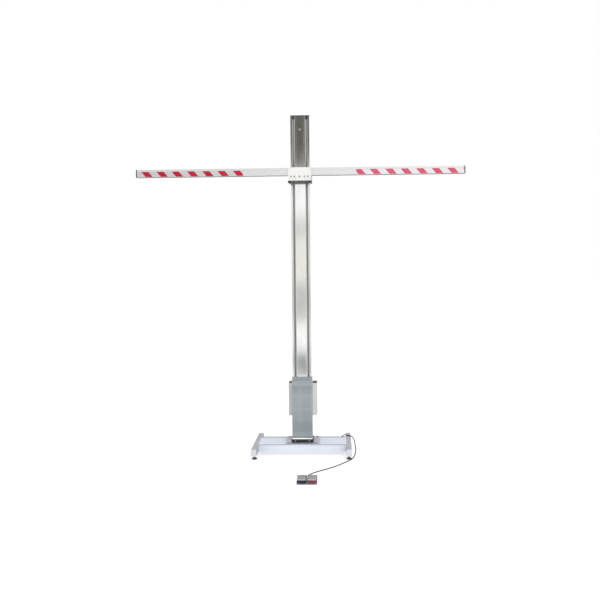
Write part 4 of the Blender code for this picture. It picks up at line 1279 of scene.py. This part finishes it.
def finish_cad_nodes():
    slots = {part["node"]: part["material_slot"] for part in frame["record"]["subparts"]}
    for node, bevel in KEPT.items():
        item = frame["nodes"][node]
        item.data.materials.clear()
        item.data.materials.append(finishes[OTHER_FINISH.get(node, slots[node])])
        for face in item.data.polygons:
            face.material_index = 0
        smooth_out(item, bevel)


# ---- Studio ----


def sheet(name, low, high, colour, glow=0.0):
    """A flat matt sheet between two opposite corners."""
    finish = Finish(name, colour, 0.0, 0.9)
    finish.set("Specular IOR Level", 0.1)
    finish.set("Emission Color", (1.0, 1.0, 1.0))
    finish.set("Emission Strength", glow)
    mesh = bpy.data.meshes.new(name)
    corners = [low, (high[0], low[1], low[2]), high, (low[0], high[1], high[2])]
    mesh.from_pydata(corners, [], [(0, 1, 2, 3)])
    mesh.materials.append(finish.material)
    made = linked(name, mesh)
    return made


def make_boards():
    """Boards seen only in reflections: four upright ones in front, and one on the floor."""
    y = STAND_Y - 7.5
    for name, low, high, colour in (
        ("high_board", (-6.0, y, 3.73), (3.6, y, 10.5), (0.108, 0.102, 0.086)),
        ("middle_board", (-2.4, y, 2.36), (1.6, y, 2.76), (0.55, 0.56, 0.54)),
        ("warm_board", (-2.4, y, 1.48), (1.6, y, 2.30), (0.80, 0.79, 0.73)),
        ("low_board", (-2.4, y, 0.62), (1.6, y, 1.42), (0.50, 0.50, 0.485)),
        ("floor_board", (-2, y + 0.3, 0.01), (2, y + 3.3, 0.01), (0.245, 0.255, 0.26)),
    ):
        board = sheet(name, low, high, colour)
        board.visible_camera = False
        board.visible_shadow = False
        board.visible_diffuse = False


def make_studio():
    """A white surround, a softly glowing floor and one broad lamp that no reflection shows."""
    world = bpy.data.worlds.new("studio")
    world.use_nodes = True
    background = world.node_tree.nodes["Background"]
    background.inputs["Color"].default_value = (1, 1, 1, 1)
    background.inputs["Strength"].default_value = 1.0
    bpy.context.scene.world = world
    bpy.context.scene.view_settings.view_transform = "Standard"
    floor = sheet("floor", (-60, -60, 0), (60, 60, 0), (0.42, 0.42, 0.42), 0.62)
    floor.location.z = -0.0004
    make_boards()
    lamp = bpy.data.lights.new("key", "AREA")
    lamp.shape = "SQUARE"
    lamp.size = 3.2
    lamp.energy = 135
    light = linked("key", lamp)
    light.visible_glossy = False
    light.location = (1.4, -3.6, 3.6)
    aim = Vector((0, 0, 1.6)) - light.location
    light.rotation_euler = aim.to_track_quat("-Z", "Y").to_euler()


# ---- Scene ----

make_camera()
finishes = make_finishes()

make_cable(make_glands())
make_strain_relief()
make_pedal()

make_feet()
make_leg_plugs()
make_beam()
make_welds()
make_base_bolts()
make_socket_screws()
make_mast()
make_front_strip()
make_slot_seals()
make_roller_tracks()
make_top_cap()
make_pulleys()
make_belt()
make_idler_axle()
make_gear_motor()
make_front_cover()
make_box_details()
make_lock()
make_rollers()
make_clamp_plate()
make_cheek_screws()
make_bar()
make_tapes()
finish_cad_nodes()
make_studio()
